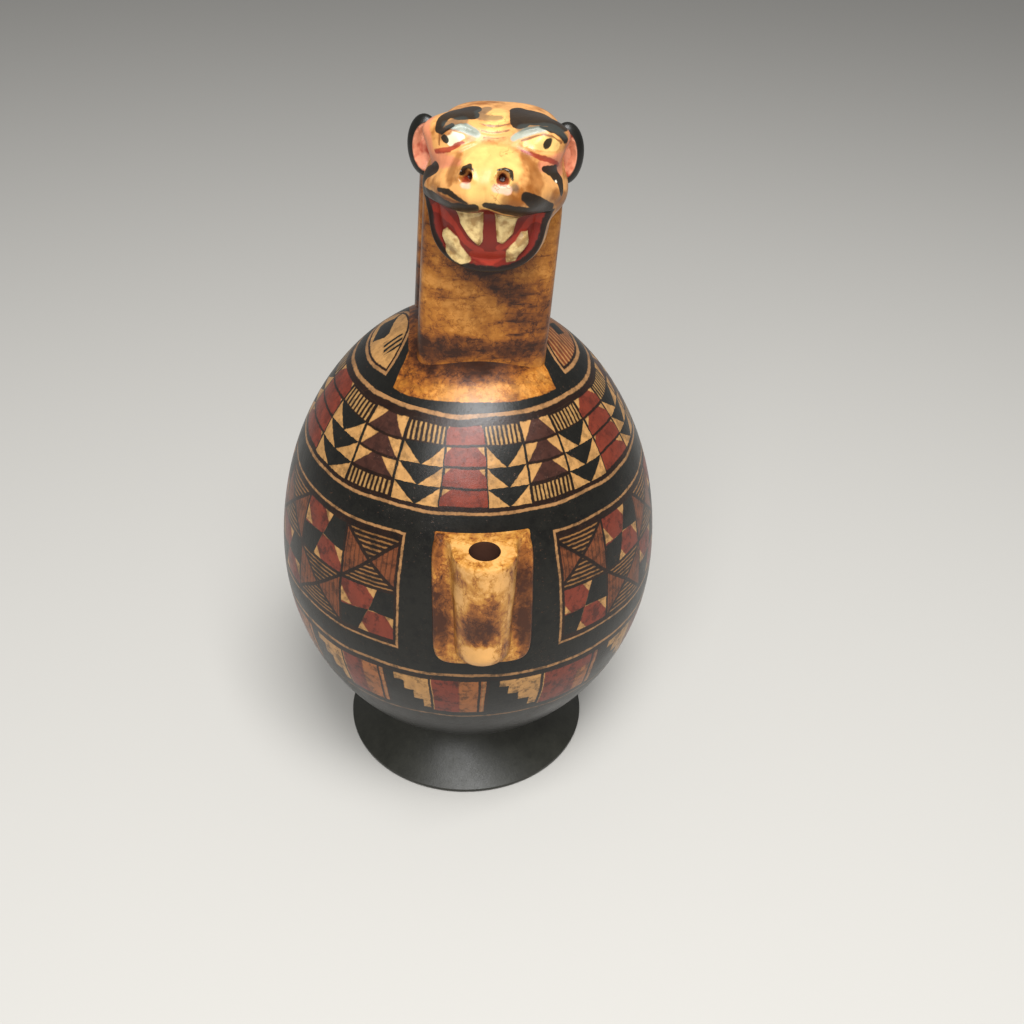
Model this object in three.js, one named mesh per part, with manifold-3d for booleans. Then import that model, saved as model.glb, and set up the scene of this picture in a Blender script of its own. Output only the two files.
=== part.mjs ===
// Painted ceramic stirrup spout vessel: an egg-shaped body on a flared foot, a strap-shaped stirrup that
// rises from the dome and carries an open-mouthed feline head, and a lug with the pouring hole in front.
// The vessel is one hollow piece of fired clay. Millimetres, +Z up, front towards -Y.
import * as THREE from 'three';
import { mergeVertices } from 'three/addons/utils/BufferGeometryUtils.js';
import Module from 'manifold-3d';

const wasm = await Module();
wasm.setup();

// Body: two half ellipses that share the widest circle.
const BODY_RADIUS = 67.4;
const WIDEST_HEIGHT = 88;
const DOME_RISE = 92;
const WALL = 6;

// Foot
const FOOT_RADIUS = 47;
const FOOT_HEIGHT = 19;
const WAIST_RADIUS = 31.4;
const FOOT_RIM = 2;
const FOOT_FLARE = 1.6;

// Stirrup: a hollow strap that goes up in front, over and down behind.
const STRAP_WIDTH = 40.5;
const STRAP_DEPTH = 16;
const STRAP_WALL = 5;
const STIRRUP_GAP = 17;
const STIRRUP_RISE = 58.5;
const STRAP_OFFSET = 2.2;
const STRAP_LEAN_DEG = 3;
const STRAP_SQUARENESS = 3.6;

// Feline head: its forms are shares of its own height.
const HEAD_HEIGHT = 44;
const HEAD_ABOVE_STIRRUP = 11.5;
const HEAD_OFFSET = 1.2;
const HEAD_YAW_DEG = -10;
const HEAD_WALL = 7;
const NOSTRIL_DIAMETER = 3.4;
const NOSTRIL_DEPTH = 3.6;

// Lug with the pouring hole
const LUG_WIDTH = 31.5;
const LUG_HEIGHT = 44.5;
const LUG_TOP_HEIGHT = 133;
const LUG_PLATE_PROUD = 2;
const LUG_CORNER = 4;
const LUG_TAPER = 0.88;
const LUG_SLOPE = 0.85;
const BORE_DIAMETER = 9.5;
const BORE_WALL = 5.2;
const BORE_FRONT_WALL = 4.8;
const BORE_SETOFF = 4.2;
const BORE_DEPTH = 25;
const PASSAGE_DIAMETER = 8;

// Fineness of the faceted surfaces
const BODY_SIDES = 60;
const BODY_RINGS = 9;
const FOOT_RINGS = 6;
const CAVITY_SIDES = 30;
const CAVITY_RINGS = 7;
const STRAP_SIDES = 24;
const STRAP_HOLLOW_SIDES = 16;
const STRAP_ARCH_RINGS = 12;
const HEAD_SIDES = 42;
const HEAD_RINGS = 32;
const HEAD_HOLLOW_SIDES = 16;
const HEAD_HOLLOW_RINGS = 10;
const EAR_SIDES = 14;
const EAR_RINGS = 9;
const NOSTRIL_SIDES = 12;
const BORE_SIDES = 24;
const TUBE_STEPS = 12;
const TUBE_FLANK_STEPS = 3;
const TUBE_END_RINGS = 5;
const TUBE_RINGS = 5;

const CLAY = new THREE.MeshStandardMaterial({ color: 0x9a5a2c, roughness: 0.45, metalness: 0 });
const rad = THREE.MathUtils.degToRad;

// Solid from a stack of closed rings with as many points each, capped by a point at both ends.
// Rings turn anticlockwise when seen against the direction in which they are stacked.
function solidOfRings(rings) {
  const sides = rings[0].length;
  const positions = rings.flat().flatMap((p) => [p.x, p.y, p.z]);
  const indices = [];
  const at = (i, j) => i * sides + (j % sides);
  for (let i = 0; i < rings.length - 1; i++) {
    for (let j = 0; j < sides; j++) {
      indices.push(at(i, j), at(i, j + 1), at(i + 1, j + 1));
      indices.push(at(i, j), at(i + 1, j + 1), at(i + 1, j));
    }
  }
  for (const [i, order] of [[0, [1, 0]], [rings.length - 1, [0, 1]]]) {
    const centre = rings[i].reduce((sum, p) => sum.add(p), new THREE.Vector3()).divideScalar(sides);
    const tip = positions.length / 3;
    positions.push(centre.x, centre.y, centre.z);
    for (let j = 0; j < sides; j++) indices.push(at(i, j + order[0]), at(i, j + order[1]), tip);
  }
  const geometry = new THREE.BufferGeometry();
  geometry.setAttribute('position', new THREE.Float32BufferAttribute(positions, 3));
  geometry.setIndex(indices);
  return solidOf(geometry);
}

// Manifold solid of a closed geometry, with its equal corners merged.
function solidOf(source) {
  const geometry = source.clone();
  geometry.deleteAttribute('normal');
  geometry.deleteAttribute('uv');
  const merged = mergeVertices(geometry, 1e-4);
  const mesh = new wasm.Mesh({
    numProp: 3,
    vertProperties: new Float32Array(merged.attributes.position.array),
    triVerts: new Uint32Array(merged.index.array),
  });
  return new wasm.Manifold(mesh);
}

function geometryOf(solid) {
  const mesh = solid.getMesh();
  const geometry = new THREE.BufferGeometry();
  geometry.setAttribute('position', new THREE.BufferAttribute(mesh.vertProperties, 3));
  geometry.setIndex(new THREE.BufferAttribute(mesh.triVerts, 1));
  geometry.computeVertexNormals();
  return geometry;
}

// A turned solid about +Z from [radius, height] pairs that start and end on the axis, bottom first.
function turned(profile, sides) {
  const points = profile.map(([r, z]) => new THREE.Vector2(r, z));
  return solidOf(new THREE.LatheGeometry(points, sides).rotateX(Math.PI / 2));
}

// The lower half ellipse is as deep as it takes to reach the waist's radius at the foot's height.
const BOWL_DROP = (WIDEST_HEIGHT - FOOT_HEIGHT) / Math.sqrt(1 - (WAIST_RADIUS / BODY_RADIUS) ** 2);

// Radius of the body at a height, set in from its surface by an inset.
function bodyRadius(z, inset = 0) {
  const half = (z > WIDEST_HEIGHT ? DOME_RISE : BOWL_DROP) - inset;
  const share = Math.min(Math.abs(z - WIDEST_HEIGHT) / half, 1);
  return (BODY_RADIUS - inset) * Math.sqrt(1 - share * share);
}

// Arc of the body's profile from the waist up to the pole, at even steps of the ellipse's own angle.
function bodyArc(inset, steps, waist) {
  const points = [];
  const lowest = Math.asin((waist - WIDEST_HEIGHT) / (BOWL_DROP - inset));
  for (let i = 0; i <= 2 * steps; i++) {
    const angle = i < steps ? lowest * (1 - i / steps) : (Math.PI / 2) * (i / steps - 1);
    const half = (angle < 0 ? BOWL_DROP : DOME_RISE) - inset;
    const radius = i < 2 * steps ? (BODY_RADIUS - inset) * Math.cos(angle) : 0;
    points.push([radius, WIDEST_HEIGHT + half * Math.sin(angle)]);
  }
  return points;
}

// Radius of the foot's flare at a height between its rim and the waist.
function footRadius(z) {
  const share = Math.max(0, 1 - (z - FOOT_RIM) / (FOOT_HEIGHT - FOOT_RIM));
  return WAIST_RADIUS + (FOOT_RADIUS - WAIST_RADIUS) * Math.pow(share, FOOT_FLARE);
}

function bodyAndFoot() {
  const foot = [[0, 0], [FOOT_RADIUS - FOOT_RIM / 4, 0], [FOOT_RADIUS, FOOT_RIM / 2], [FOOT_RADIUS, FOOT_RIM]];
  for (let i = 1; i < FOOT_RINGS; i++) {
    const z = FOOT_RIM + ((FOOT_HEIGHT - FOOT_RIM) * i) / FOOT_RINGS;
    foot.push([footRadius(z), z]);
  }
  return turned([...foot, ...bodyArc(0, BODY_RINGS, FOOT_HEIGHT)], BODY_SIDES);
}

// The hollow follows the outside, one wall in, and goes down into the foot.
function cavity() {
  const floor = WALL;
  const waist = FOOT_HEIGHT + WALL / 2;
  const foot = [[0, floor], [footRadius(floor) - WALL, floor]];
  const steps = 3;
  for (let i = 1; i < steps; i++) {
    const z = floor + ((waist - floor) * i) / steps;
    foot.push([footRadius(z) - WALL, z]);
  }
  return turned([...foot, ...bodyArc(WALL, CAVITY_RINGS, waist)], CAVITY_SIDES);
}

// The stirrup's middle line in the plane x = 0: front leg, half circle, back leg.
const LEG_Y = (STIRRUP_GAP + STRAP_DEPTH) / 2;
const DOME_TOP = WIDEST_HEIGHT + DOME_RISE;
const STIRRUP_TOP = DOME_TOP + STIRRUP_RISE;
const ARCH_HEIGHT = STIRRUP_TOP - STRAP_DEPTH / 2 - LEG_Y;
const ROOT_HEIGHT = DOME_TOP - WALL * 3;
const lean = (z) => STRAP_OFFSET + (z - DOME_TOP) * Math.tan(rad(STRAP_LEAN_DEG));

function stirrupLine(steps) {
  const line = [];
  for (const share of [0, 0.4, 1]) {
    line.push({ y: -LEG_Y, z: THREE.MathUtils.lerp(ROOT_HEIGHT, ARCH_HEIGHT, share), turn: 0 });
  }
  for (let i = 1; i <= steps; i++) {
    const turn = (Math.PI * i) / steps;
    line.push({ y: -LEG_Y * Math.cos(turn), z: ARCH_HEIGHT + LEG_Y * Math.sin(turn), turn });
  }
  line.push({ y: LEG_Y, z: ROOT_HEIGHT, turn: Math.PI });
  return line;
}

// Strap section: a rounded rectangle as a super-ellipse, swept along the middle line.
function strap(width, depth, sides) {
  const rings = stirrupLine(STRAP_ARCH_RINGS).map(({ y, z, turn }) => {
    const ring = [];
    for (let j = 0; j < sides; j++) {
      const a = (2 * Math.PI * j) / sides;
      const round = (v) => Math.sign(v) * Math.pow(Math.abs(v), 2 / STRAP_SQUARENESS);
      const across = (width / 2) * round(Math.cos(a));
      const out = (depth / 2) * round(Math.sin(a));
      const height = z - out * Math.sin(turn);
      ring.push(new THREE.Vector3(lean(height) + across, y + out * Math.cos(turn), height));
    }
    return ring;
  });
  return solidOfRings(rings);
}

// The head is worked out in a frame of its own, one unit to the millimetre at the height it was modelled
// at: x to its left cheek, y to its back, z up, centred between the cheeks.
const HEAD_UNITS = 44;
const HEAD_SCALE = HEAD_HEIGHT / HEAD_UNITS;
const HEAD_TOP_UNITS = 21;
const FACE_FORWARD_UNITS = 4;
const HEAD_CENTRE = new THREE.Vector3(
  lean(STIRRUP_TOP) - HEAD_OFFSET,
  -LEG_Y - STRAP_DEPTH / 2 - FACE_FORWARD_UNITS * HEAD_SCALE,
  STIRRUP_TOP + HEAD_ABOVE_STIRRUP - HEAD_TOP_UNITS * HEAD_SCALE,
);

// Rounded masses of the head: centre, half sizes and squareness. A paired one stands on both sides.
const MASSES = [
  { at: [0, 5.5, 8.5], half: [17.6, 14, 12.5], square: 3 },
  { at: [0.3, -9.5, 8.2], half: [11.5, 13, 7], square: 2.3 },
  { at: [6.2, -12, 4.2], half: [8, 9.5, 5.2], square: 2, paired: true },
  { at: [-1.2, -3, -7], half: [16.3, 15.5, 14], square: 2.2 },
  { at: [10.5, -4, 17], half: [8.5, 6, 3.6], square: 2, paired: true },
  { at: [10.8, -7, 12.6], half: [5.6, 4, 3.4], square: 2, paired: true },
  { at: [12.5, -3, 2], half: [7, 9, 6.5], square: 2, paired: true },
];
const BLEND = 1.5;

// Depth below the surface of the blended masses, in units, positive inside.
function headDepth({ x, y, z }) {
  let sum = 0;
  for (const { at, half, square, paired } of MASSES) {
    for (const side of paired ? [-1, 1] : [1]) {
      const dx = Math.abs(x - side * at[0]) / half[0];
      const dy = Math.abs(y - at[1]) / half[1];
      const dz = Math.abs(z - at[2]) / half[2];
      const reach = Math.pow(Math.pow(dx, square) + Math.pow(dy, square) + Math.pow(dz, square), 1 / square);
      sum += Math.exp(((1 - reach) * Math.min(...half)) / BLEND);
    }
  }
  return Math.log(sum) * BLEND;
}

// Distance of the head's surface from its middle along a way, found by halving.
const HEAD_MIDDLE = new THREE.Vector3(0, 2, 0);
const HALVINGS = 24;
function headReach(way) {
  let near = 0;
  let far = HEAD_UNITS;
  for (let k = 0; k < HALVINGS; k++) {
    const middle = (near + far) / 2;
    if (headDepth(way.clone().multiplyScalar(middle).add(HEAD_MIDDLE)) > 0) near = middle;
    else far = middle;
  }
  return near;
}

// Map of the face: [s, t] is as long as the angle off the straight forward line, laid on a ball of this radius.
const FACE_RADIUS = 22;
function faceWay(s, t) {
  const polar = Math.hypot(s, t) / FACE_RADIUS;
  const a = Math.atan2(t, s);
  return new THREE.Vector3(Math.sin(polar) * Math.cos(a), -Math.cos(polar), Math.sin(polar) * Math.sin(a));
}

const smooth = (a, b, v) => THREE.MathUtils.smoothstep(v, a, b);

// Depth inside the open mouth on the face's map: straight at the lip, and below it half of a super-ellipse.
const MOUTH = { middle: -2.6, half: 22.2, lip: 0.4, chin: -18.4, depth: 2.4, bow: 2.2 };
function mouthDepth(s, t) {
  const drop = MOUTH.lip - MOUTH.chin;
  const share = Math.max((MOUTH.lip - t) / drop, 0);
  const side = Math.abs(s - MOUTH.middle * Math.max(1 - share * share, 0)) / MOUTH.half;
  const out = Math.pow(Math.pow(side, MOUTH.bow) + Math.pow(share, MOUTH.bow), 1 / MOUTH.bow);
  return Math.min(drop * (1 - out), MOUTH.lip - t);
}

// A tooth is a line of [s, t, half width] on the face's map: two fangs above, two teeth along the lower lip.
const TEETH = [
  [[-6.6, -2, 3.6], [-5.2, -5.4, 2.8], [-3.4, -9.6, 1]],
  [[5.2, -2.2, 3.3], [4.8, -6, 2.7], [3.8, -9, 1.2]],
  [[-14, -10.8, 2.2], [-11.6, -13, 2.8], [-8.2, -16.4, 2]],
  [[11.4, -9.4, 1.6], [9.2, -12.4, 2.4], [6.4, -15.8, 1.8]],
];
const TOOTH_RISE = 1.3;
function toothDepth(s, t) {
  let best = -FACE_RADIUS;
  for (const points of TEETH) {
    for (let i = 1; i < points.length; i++) {
      const [from, to] = [points[i - 1], points[i]];
      const [across, along] = [to[0] - from[0], to[1] - from[1]];
      const share = THREE.MathUtils.clamp(
        ((s - from[0]) * across + (t - from[1]) * along) / (across * across + along * along), 0, 1);
      const half = THREE.MathUtils.lerp(from[2], to[2], share);
      best = Math.max(best, half - Math.hypot(s - from[0] - across * share, t - from[1] - along * share));
    }
  }
  return best;
}

// Relief of the face, in units: the mouth sinks in and the teeth stand up from it.
function relief(s, t) {
  const inside = mouthDepth(s, t);
  const teeth = TOOTH_RISE * smooth(-0.7, 0.7, toothDepth(s, t)) * smooth(-0.6, 0.8, inside);
  return teeth - MOUTH.depth * smooth(-0.5, 1.8, inside);
}

// Rings around the line from the nose to the back of the head, closer together on the face. With an inset
// the same form is that much nearer to the middle and has no relief.
const FACE_CROWDING = 1.15;
function headRings(inset, sides, count) {
  const rings = [];
  for (let i = 1; i < count; i++) {
    const around = Math.PI * FACE_RADIUS * Math.pow(i / count, FACE_CROWDING);
    const ring = [];
    for (let j = 0; j < sides; j++) {
      const a = (-2 * Math.PI * j) / sides;
      const [s, t] = [around * Math.cos(a), around * Math.sin(a)];
      const way = faceWay(s, t);
      const rise = inset === 0 ? relief(s, t) : -inset / HEAD_SCALE;
      ring.push(headPlace(way.clone().multiplyScalar(headReach(way) + rise).add(HEAD_MIDDLE)));
    }
    rings.push(ring);
  }
  return rings;
}

// From the head's own frame to the vessel's.
function headPlace(p) {
  return p.clone().multiplyScalar(HEAD_SCALE)
    .applyAxisAngle(new THREE.Vector3(0, 0, 1), rad(HEAD_YAW_DEG)).add(HEAD_CENTRE);
}

// A short throat joins the head's hollow to the stirrup's.
function throat() {
  const turn = Math.PI / 4;
  const from = headPlace(HEAD_MIDDLE);
  const to = new THREE.Vector3(
    lean(ARCH_HEIGHT), -LEG_Y * Math.cos(turn), ARCH_HEIGHT + LEG_Y * Math.sin(turn));
  const way = to.clone().sub(from);
  const tube = new THREE.CylinderGeometry(PASSAGE_DIAMETER / 2, PASSAGE_DIAMETER / 2, way.length(), BORE_SIDES);
  tube.applyQuaternion(new THREE.Quaternion().setFromUnitVectors(new THREE.Vector3(0, 1, 0), way.normalize()));
  const middle = from.add(to).divideScalar(2);
  return solidOf(tube.translate(middle.x, middle.y, middle.z));
}

// An ear is a flattened ball with a round cup pressed into its front, open towards the head. Both ears sit
// a little to one side.
const EAR = { at: [19.4, 3.8, 10], half: [5.1, 3.4, 8.5], cup: 2.6, cupOffset: 0.28, turn: 14, shift: -0.9 };
function ear(side) {
  const rings = [];
  for (let i = 1; i < EAR_RINGS; i++) {
    const polar = (Math.PI * i) / EAR_RINGS;
    const ring = [];
    for (let j = 0; j < EAR_SIDES; j++) {
      const a = (-2 * Math.PI * j) / EAR_SIDES;
      const x = Math.sin(polar) * Math.cos(a);
      const z = Math.sin(polar) * Math.sin(a);
      const fromCup = Math.hypot(x + side * EAR.cupOffset, z);
      const pressed = EAR.cup * (1 - smooth(0.45, 0.8, fromCup)) * smooth(-0.1, 0.3, Math.cos(polar));
      const p = new THREE.Vector3(x * EAR.half[0], -Math.cos(polar) * EAR.half[1] + pressed, z * EAR.half[2]);
      p.applyAxisAngle(new THREE.Vector3(0, 0, 1), side * rad(EAR.turn));
      p.add(new THREE.Vector3(side * EAR.at[0] + EAR.shift, EAR.at[1], EAR.at[2]));
      ring.push(headPlace(p));
    }
    rings.push(ring);
  }
  return solidOfRings(rings);
}

// A nostril is a round pit that runs straight towards the head's middle.
const NOSTRILS = { middle: -1.15, apart: 4.25, up: 9.4 };
function nostril(side) {
  const way = faceWay(NOSTRILS.middle + side * NOSTRILS.apart, NOSTRILS.up);
  const surface = headPlace(way.clone().multiplyScalar(headReach(way)).add(HEAD_MIDDLE));
  const axis = way.clone().applyAxisAngle(new THREE.Vector3(0, 0, 1), rad(HEAD_YAW_DEG));
  const pit = new THREE.CylinderGeometry(NOSTRIL_DIAMETER / 2, NOSTRIL_DIAMETER / 2, NOSTRIL_DEPTH * 2, NOSTRIL_SIDES);
  pit.applyQuaternion(new THREE.Quaternion().setFromUnitVectors(new THREE.Vector3(0, 1, 0), axis));
  return solidOf(pit.translate(surface.x, surface.y, surface.z));
}

// Lug: a plate that hugs the body, and on it an upright half tube with a flat top and a rounded lower end.
const LUG_BOTTOM_HEIGHT = LUG_TOP_HEIGHT - LUG_HEIGHT;
const TUBE_RADIUS = BORE_DIAMETER / 2 + BORE_WALL;
const BORE_Y = -(bodyRadius(LUG_TOP_HEIGHT) + BORE_SETOFF + BORE_DIAMETER / 2);

function lugPlate() {
  const w = LUG_WIDTH / 2;
  const c = LUG_CORNER;
  const outline = new THREE.Shape();
  outline.moveTo(-w + c, LUG_BOTTOM_HEIGHT);
  outline.lineTo(w - c, LUG_BOTTOM_HEIGHT);
  outline.absarc(w - c, LUG_BOTTOM_HEIGHT + c, c, -Math.PI / 2, 0);
  outline.lineTo(w, LUG_TOP_HEIGHT - c);
  outline.absarc(w - c, LUG_TOP_HEIGHT - c, c, 0, Math.PI / 2);
  outline.lineTo(-w + c, LUG_TOP_HEIGHT);
  outline.absarc(-w + c, LUG_TOP_HEIGHT - c, c, Math.PI / 2, Math.PI);
  outline.lineTo(-w, LUG_BOTTOM_HEIGHT + c);
  outline.absarc(-w + c, LUG_BOTTOM_HEIGHT + c, c, Math.PI, 1.5 * Math.PI);
  const depth = BODY_RADIUS + LUG_PLATE_PROUD;
  const block = new THREE.ExtrudeGeometry(outline, { depth, bevelEnabled: false, curveSegments: 4 });
  block.rotateX(Math.PI / 2);
  const round = turned([[0, FOOT_HEIGHT], ...bodyArc(-LUG_PLATE_PROUD, BODY_RINGS, FOOT_HEIGHT)], BODY_SIDES);
  return solidOf(block).intersect(round);
}

// Plan of the half tube at a height: round in front, smaller lower down, with hollow flanks that spread to
// the plate's edges. It is closed inside the body's wall.
function tubePlan(scale, z) {
  const up = (z - LUG_BOTTOM_HEIGHT) / LUG_HEIGHT;
  const taper = THREE.MathUtils.lerp(LUG_TAPER, 1, up);
  const front = (BORE_DIAMETER / 2 + BORE_FRONT_WALL) * THREE.MathUtils.lerp(LUG_SLOPE, 1, up);
  const wing = LUG_WIDTH / 2 - LUG_PLATE_PROUD / 2;
  const plateY = -Math.sqrt(bodyRadius(z, -LUG_PLATE_PROUD / 2) ** 2 - wing ** 2);
  const back = -bodyRadius(LUG_TOP_HEIGHT, WALL / 2);
  const tube = [];
  for (let i = 0; i <= TUBE_STEPS; i++) {
    const a = Math.PI + (Math.PI * i) / TUBE_STEPS;
    tube.push([TUBE_RADIUS * taper * Math.cos(a), BORE_Y + front * Math.sin(a)]);
  }
  const flank = [];
  for (let i = 1; i <= TUBE_FLANK_STEPS; i++) {
    const share = i / TUBE_FLANK_STEPS;
    flank.push([
      THREE.MathUtils.lerp(TUBE_RADIUS * taper, wing * taper, share * share),
      THREE.MathUtils.lerp(BORE_Y, plateY, Math.sqrt(share)),
    ]);
  }
  const last = flank[flank.length - 1][0];
  const left = flank.map(([x, y]) => [-x, y]).reverse();
  const points = [...tube, ...flank, [last, back], [-last, back], ...left];
  return points.map(([x, y]) => new THREE.Vector3(x * scale, back + (y - back) * scale, z));
}

function lugTube() {
  const rings = [];
  for (let i = 1; i <= TUBE_END_RINGS; i++) {
    const share = 1 - i / TUBE_END_RINGS;
    const scale = Math.pow(1 - Math.pow(share, 3), 1 / 3);
    rings.push(tubePlan(scale, LUG_BOTTOM_HEIGHT + TUBE_RADIUS * (1 - share)));
  }
  for (let i = 1; i <= TUBE_RINGS; i++) {
    rings.push(tubePlan(1, THREE.MathUtils.lerp(LUG_BOTTOM_HEIGHT + TUBE_RADIUS, LUG_TOP_HEIGHT, i / TUBE_RINGS)));
  }
  return solidOfRings(rings);
}

// The pouring hole goes straight down the half tube, then a passage turns into the body.
function bore() {
  const over = 1;
  const down = new THREE.CylinderGeometry(BORE_DIAMETER / 2, BORE_DIAMETER / 2, BORE_DEPTH + over, BORE_SIDES);
  down.rotateX(Math.PI / 2).translate(0, BORE_Y, LUG_TOP_HEIGHT + (over - BORE_DEPTH) / 2);
  const reach = -BORE_Y - bodyRadius(LUG_TOP_HEIGHT, WALL) + WALL;
  const inward = new THREE.CylinderGeometry(PASSAGE_DIAMETER / 2, PASSAGE_DIAMETER / 2, reach, BORE_SIDES);
  inward.translate(0, BORE_Y + reach / 2, LUG_TOP_HEIGHT - BORE_DEPTH + PASSAGE_DIAMETER / 2);
  return solidOf(down).add(solidOf(inward));
}

function vessel() {
  const outside = [
    strap(STRAP_WIDTH, STRAP_DEPTH, STRAP_SIDES),
    solidOfRings(headRings(0, HEAD_SIDES, HEAD_RINGS)),
    ear(-1), ear(1), lugPlate(), lugTube(),
  ].reduce((whole, part) => whole.add(part), bodyAndFoot());
  const hollow = [
    strap(STRAP_WIDTH - 2 * STRAP_WALL, STRAP_DEPTH - 2 * STRAP_WALL, STRAP_HOLLOW_SIDES),
    solidOfRings(headRings(HEAD_WALL, HEAD_HOLLOW_SIDES, HEAD_HOLLOW_RINGS)),
    throat(), bore(), nostril(-1), nostril(1),
  ].reduce((whole, part) => whole.add(part), cavity());
  return geometryOf(outside.subtract(hollow));
}

const group = new THREE.Group();
const mesh = new THREE.Mesh(vessel(), CLAY);
mesh.name = 'vessel';
group.add(mesh);

export default group;
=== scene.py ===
# %% [markdown]
# # A painted stirrup spout vessel
# One hollow piece of fired clay: a flared foot, an egg-shaped body, a strap-shaped stirrup with a feline
# head on it, and a lug with the pouring hole in front. The frame is loaded first. It brings the plain
# solid in its true size, and everything made below keeps to its box within a tenth of a millimetre or so.

# %% The frame, and the solid's box
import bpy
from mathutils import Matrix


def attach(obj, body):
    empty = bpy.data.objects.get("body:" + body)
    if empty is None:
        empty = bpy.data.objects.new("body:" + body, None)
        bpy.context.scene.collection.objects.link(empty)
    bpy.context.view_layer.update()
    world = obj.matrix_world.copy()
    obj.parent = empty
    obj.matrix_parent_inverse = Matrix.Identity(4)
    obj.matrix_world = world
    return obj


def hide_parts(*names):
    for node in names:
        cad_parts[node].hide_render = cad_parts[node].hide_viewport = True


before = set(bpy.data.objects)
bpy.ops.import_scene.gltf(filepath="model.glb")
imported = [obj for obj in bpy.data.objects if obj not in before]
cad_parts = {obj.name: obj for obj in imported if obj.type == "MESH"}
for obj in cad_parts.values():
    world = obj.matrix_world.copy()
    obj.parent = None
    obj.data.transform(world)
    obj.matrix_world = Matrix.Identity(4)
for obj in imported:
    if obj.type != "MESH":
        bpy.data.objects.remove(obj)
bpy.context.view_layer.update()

import ast
import math

import bpy
import numpy as np
from mathutils import Matrix, Vector

# %% [markdown]
# The surfaces are worked out as grids of points, ring by ring. Blender could also lathe a curve with a
# Screw modifier, but a grid gives the same smooth form with its exact size, and the head needs one anyway.
# A grid of rings that is closed with a fan at both ends is a watertight solid. Its volume tells whether
# its faces point outwards.

# %% A closed solid from a stack of rings
MM = 0.001


def ring_faces(rows, sides):
    """Quads between ring i and ring i + 1: points j and j + 1 of both, with the last joined to the first."""
    i, j = np.meshgrid(np.arange(rows - 1), np.arange(sides), indexing="ij")
    k = (j + 1) % sides
    quads = np.stack([i * sides + j, i * sides + k, (i + 1) * sides + k, (i + 1) * sides + j], axis=-1)
    return quads.reshape(-1, 4)


def fan_faces(start, sides, tip):
    """Triangles from each pair of neighbours in one ring to a point in its middle."""
    j = np.arange(sides)
    return np.stack([start + (j + 1) % sides, start + j, np.full(sides, tip)], axis=-1)


def volume_of(points, quads, triangles):
    """Sum over the triangles of a . (b x c) / 6, which is positive when they face outwards."""
    tris = np.concatenate([quads[:, [0, 1, 2]], quads[:, [0, 2, 3]], triangles])
    a, b, c = (points[tris[:, n]] for n in range(3))
    return float(np.einsum("ij,ij->i", a, np.cross(b, c)).sum() / 6)


def solid(name, rings, material):
    """Object from rings of shape (rows, sides, 3) in millimetres, with a fan over both ends."""
    rows, sides, _ = rings.shape
    points = np.concatenate([rings.reshape(-1, 3), rings[0].mean(0)[None], rings[-1].mean(0)[None]])
    quads = ring_faces(rows, sides)
    first, last = rows * sides, rows * sides + 1
    far_fan = fan_faces((rows - 1) * sides, sides, last)[:, [1, 0, 2]]
    fans = np.concatenate([fan_faces(0, sides, first), far_fan])
    if volume_of(points, quads, fans) < 0:
        quads, fans = quads[:, ::-1], fans[:, ::-1]
    mesh = bpy.data.meshes.new(name)
    mesh.vertices.add(len(points))
    mesh.vertices.foreach_set("co", (points * MM).ravel())
    corners = np.concatenate([quads.ravel(), fans.ravel()])
    starts = np.concatenate([np.arange(len(quads)) * 4, len(quads) * 4 + np.arange(len(fans)) * 3])
    mesh.loops.add(len(corners))
    mesh.loops.foreach_set("vertex_index", corners)
    mesh.polygons.add(len(starts))
    mesh.polygons.foreach_set("loop_start", starts)
    mesh.update(calc_edges=True)
    mesh.materials.append(material)
    piece = bpy.data.objects.new(name, mesh)
    bpy.context.scene.collection.objects.link(piece)
    print(f"{name}: {len(points)} points, {abs(volume_of(points, quads, fans)) / 1000:.1f} ml")
    return piece


# %% [markdown]
# Two shapes come back in several pieces: a rounded rectangle, which a potter gets by pressing a strap flat
# between the fingers, and a turn about the upright axis.

# %% Rounded rectangle and turn


def super_ellipse(sides, half_a, half_b, squareness):
    """Points of |a|^n + |b|^n = 1 at even steps of an angle: half * sign(cos) * |cos|^(2 / n), sin for b."""
    angle = np.arange(sides) * 2 * math.pi / sides
    waves = np.stack([np.cos(angle), np.sin(angle)])
    return np.array([[half_a], [half_b]]) * np.sign(waves) * np.abs(waves) ** (2 / squareness)


def turned_about_z(p, angle):
    """Points turned about +Z: x * cos - y * sin, x * sin + y * cos, and z as it is."""
    c, s = math.cos(angle), math.sin(angle)
    return np.stack([p[..., 0] * c - p[..., 1] * s, p[..., 0] * s + p[..., 1] * c, p[..., 2]], axis=-1)


# %% [markdown]
# Each region of the pot gets a finish of its own later. The empty materials are made now, so that every
# solid can carry its finish through the joining and cutting.

# %% Names of the finishes
FINISHES = {name: bpy.data.materials.new(name) for name in (
    "burnished_black_slip", "painted_clay_shoulder", "painted_clay_belly", "painted_clay_bowl",
    "painted_clay_dome", "charcoal_slip_foot", "orange_slip_stirrup", "orange_slip_lug",
    "painted_clay_head", "painted_clay_ear", "bare_fired_clay")}
for material in FINISHES.values():
    material.use_nodes = True
print("finishes:", len(FINISHES))

# %% [markdown]
# The body is turned like a pot on a wheel: a profile carried around the upright axis. Two half ellipses
# share the widest circle, and the foot flares out below the waist. A hand-built pot is never quite round,
# so the profile sinks in by a fraction of a millimetre in slow waves, always inwards to keep the size.

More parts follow.
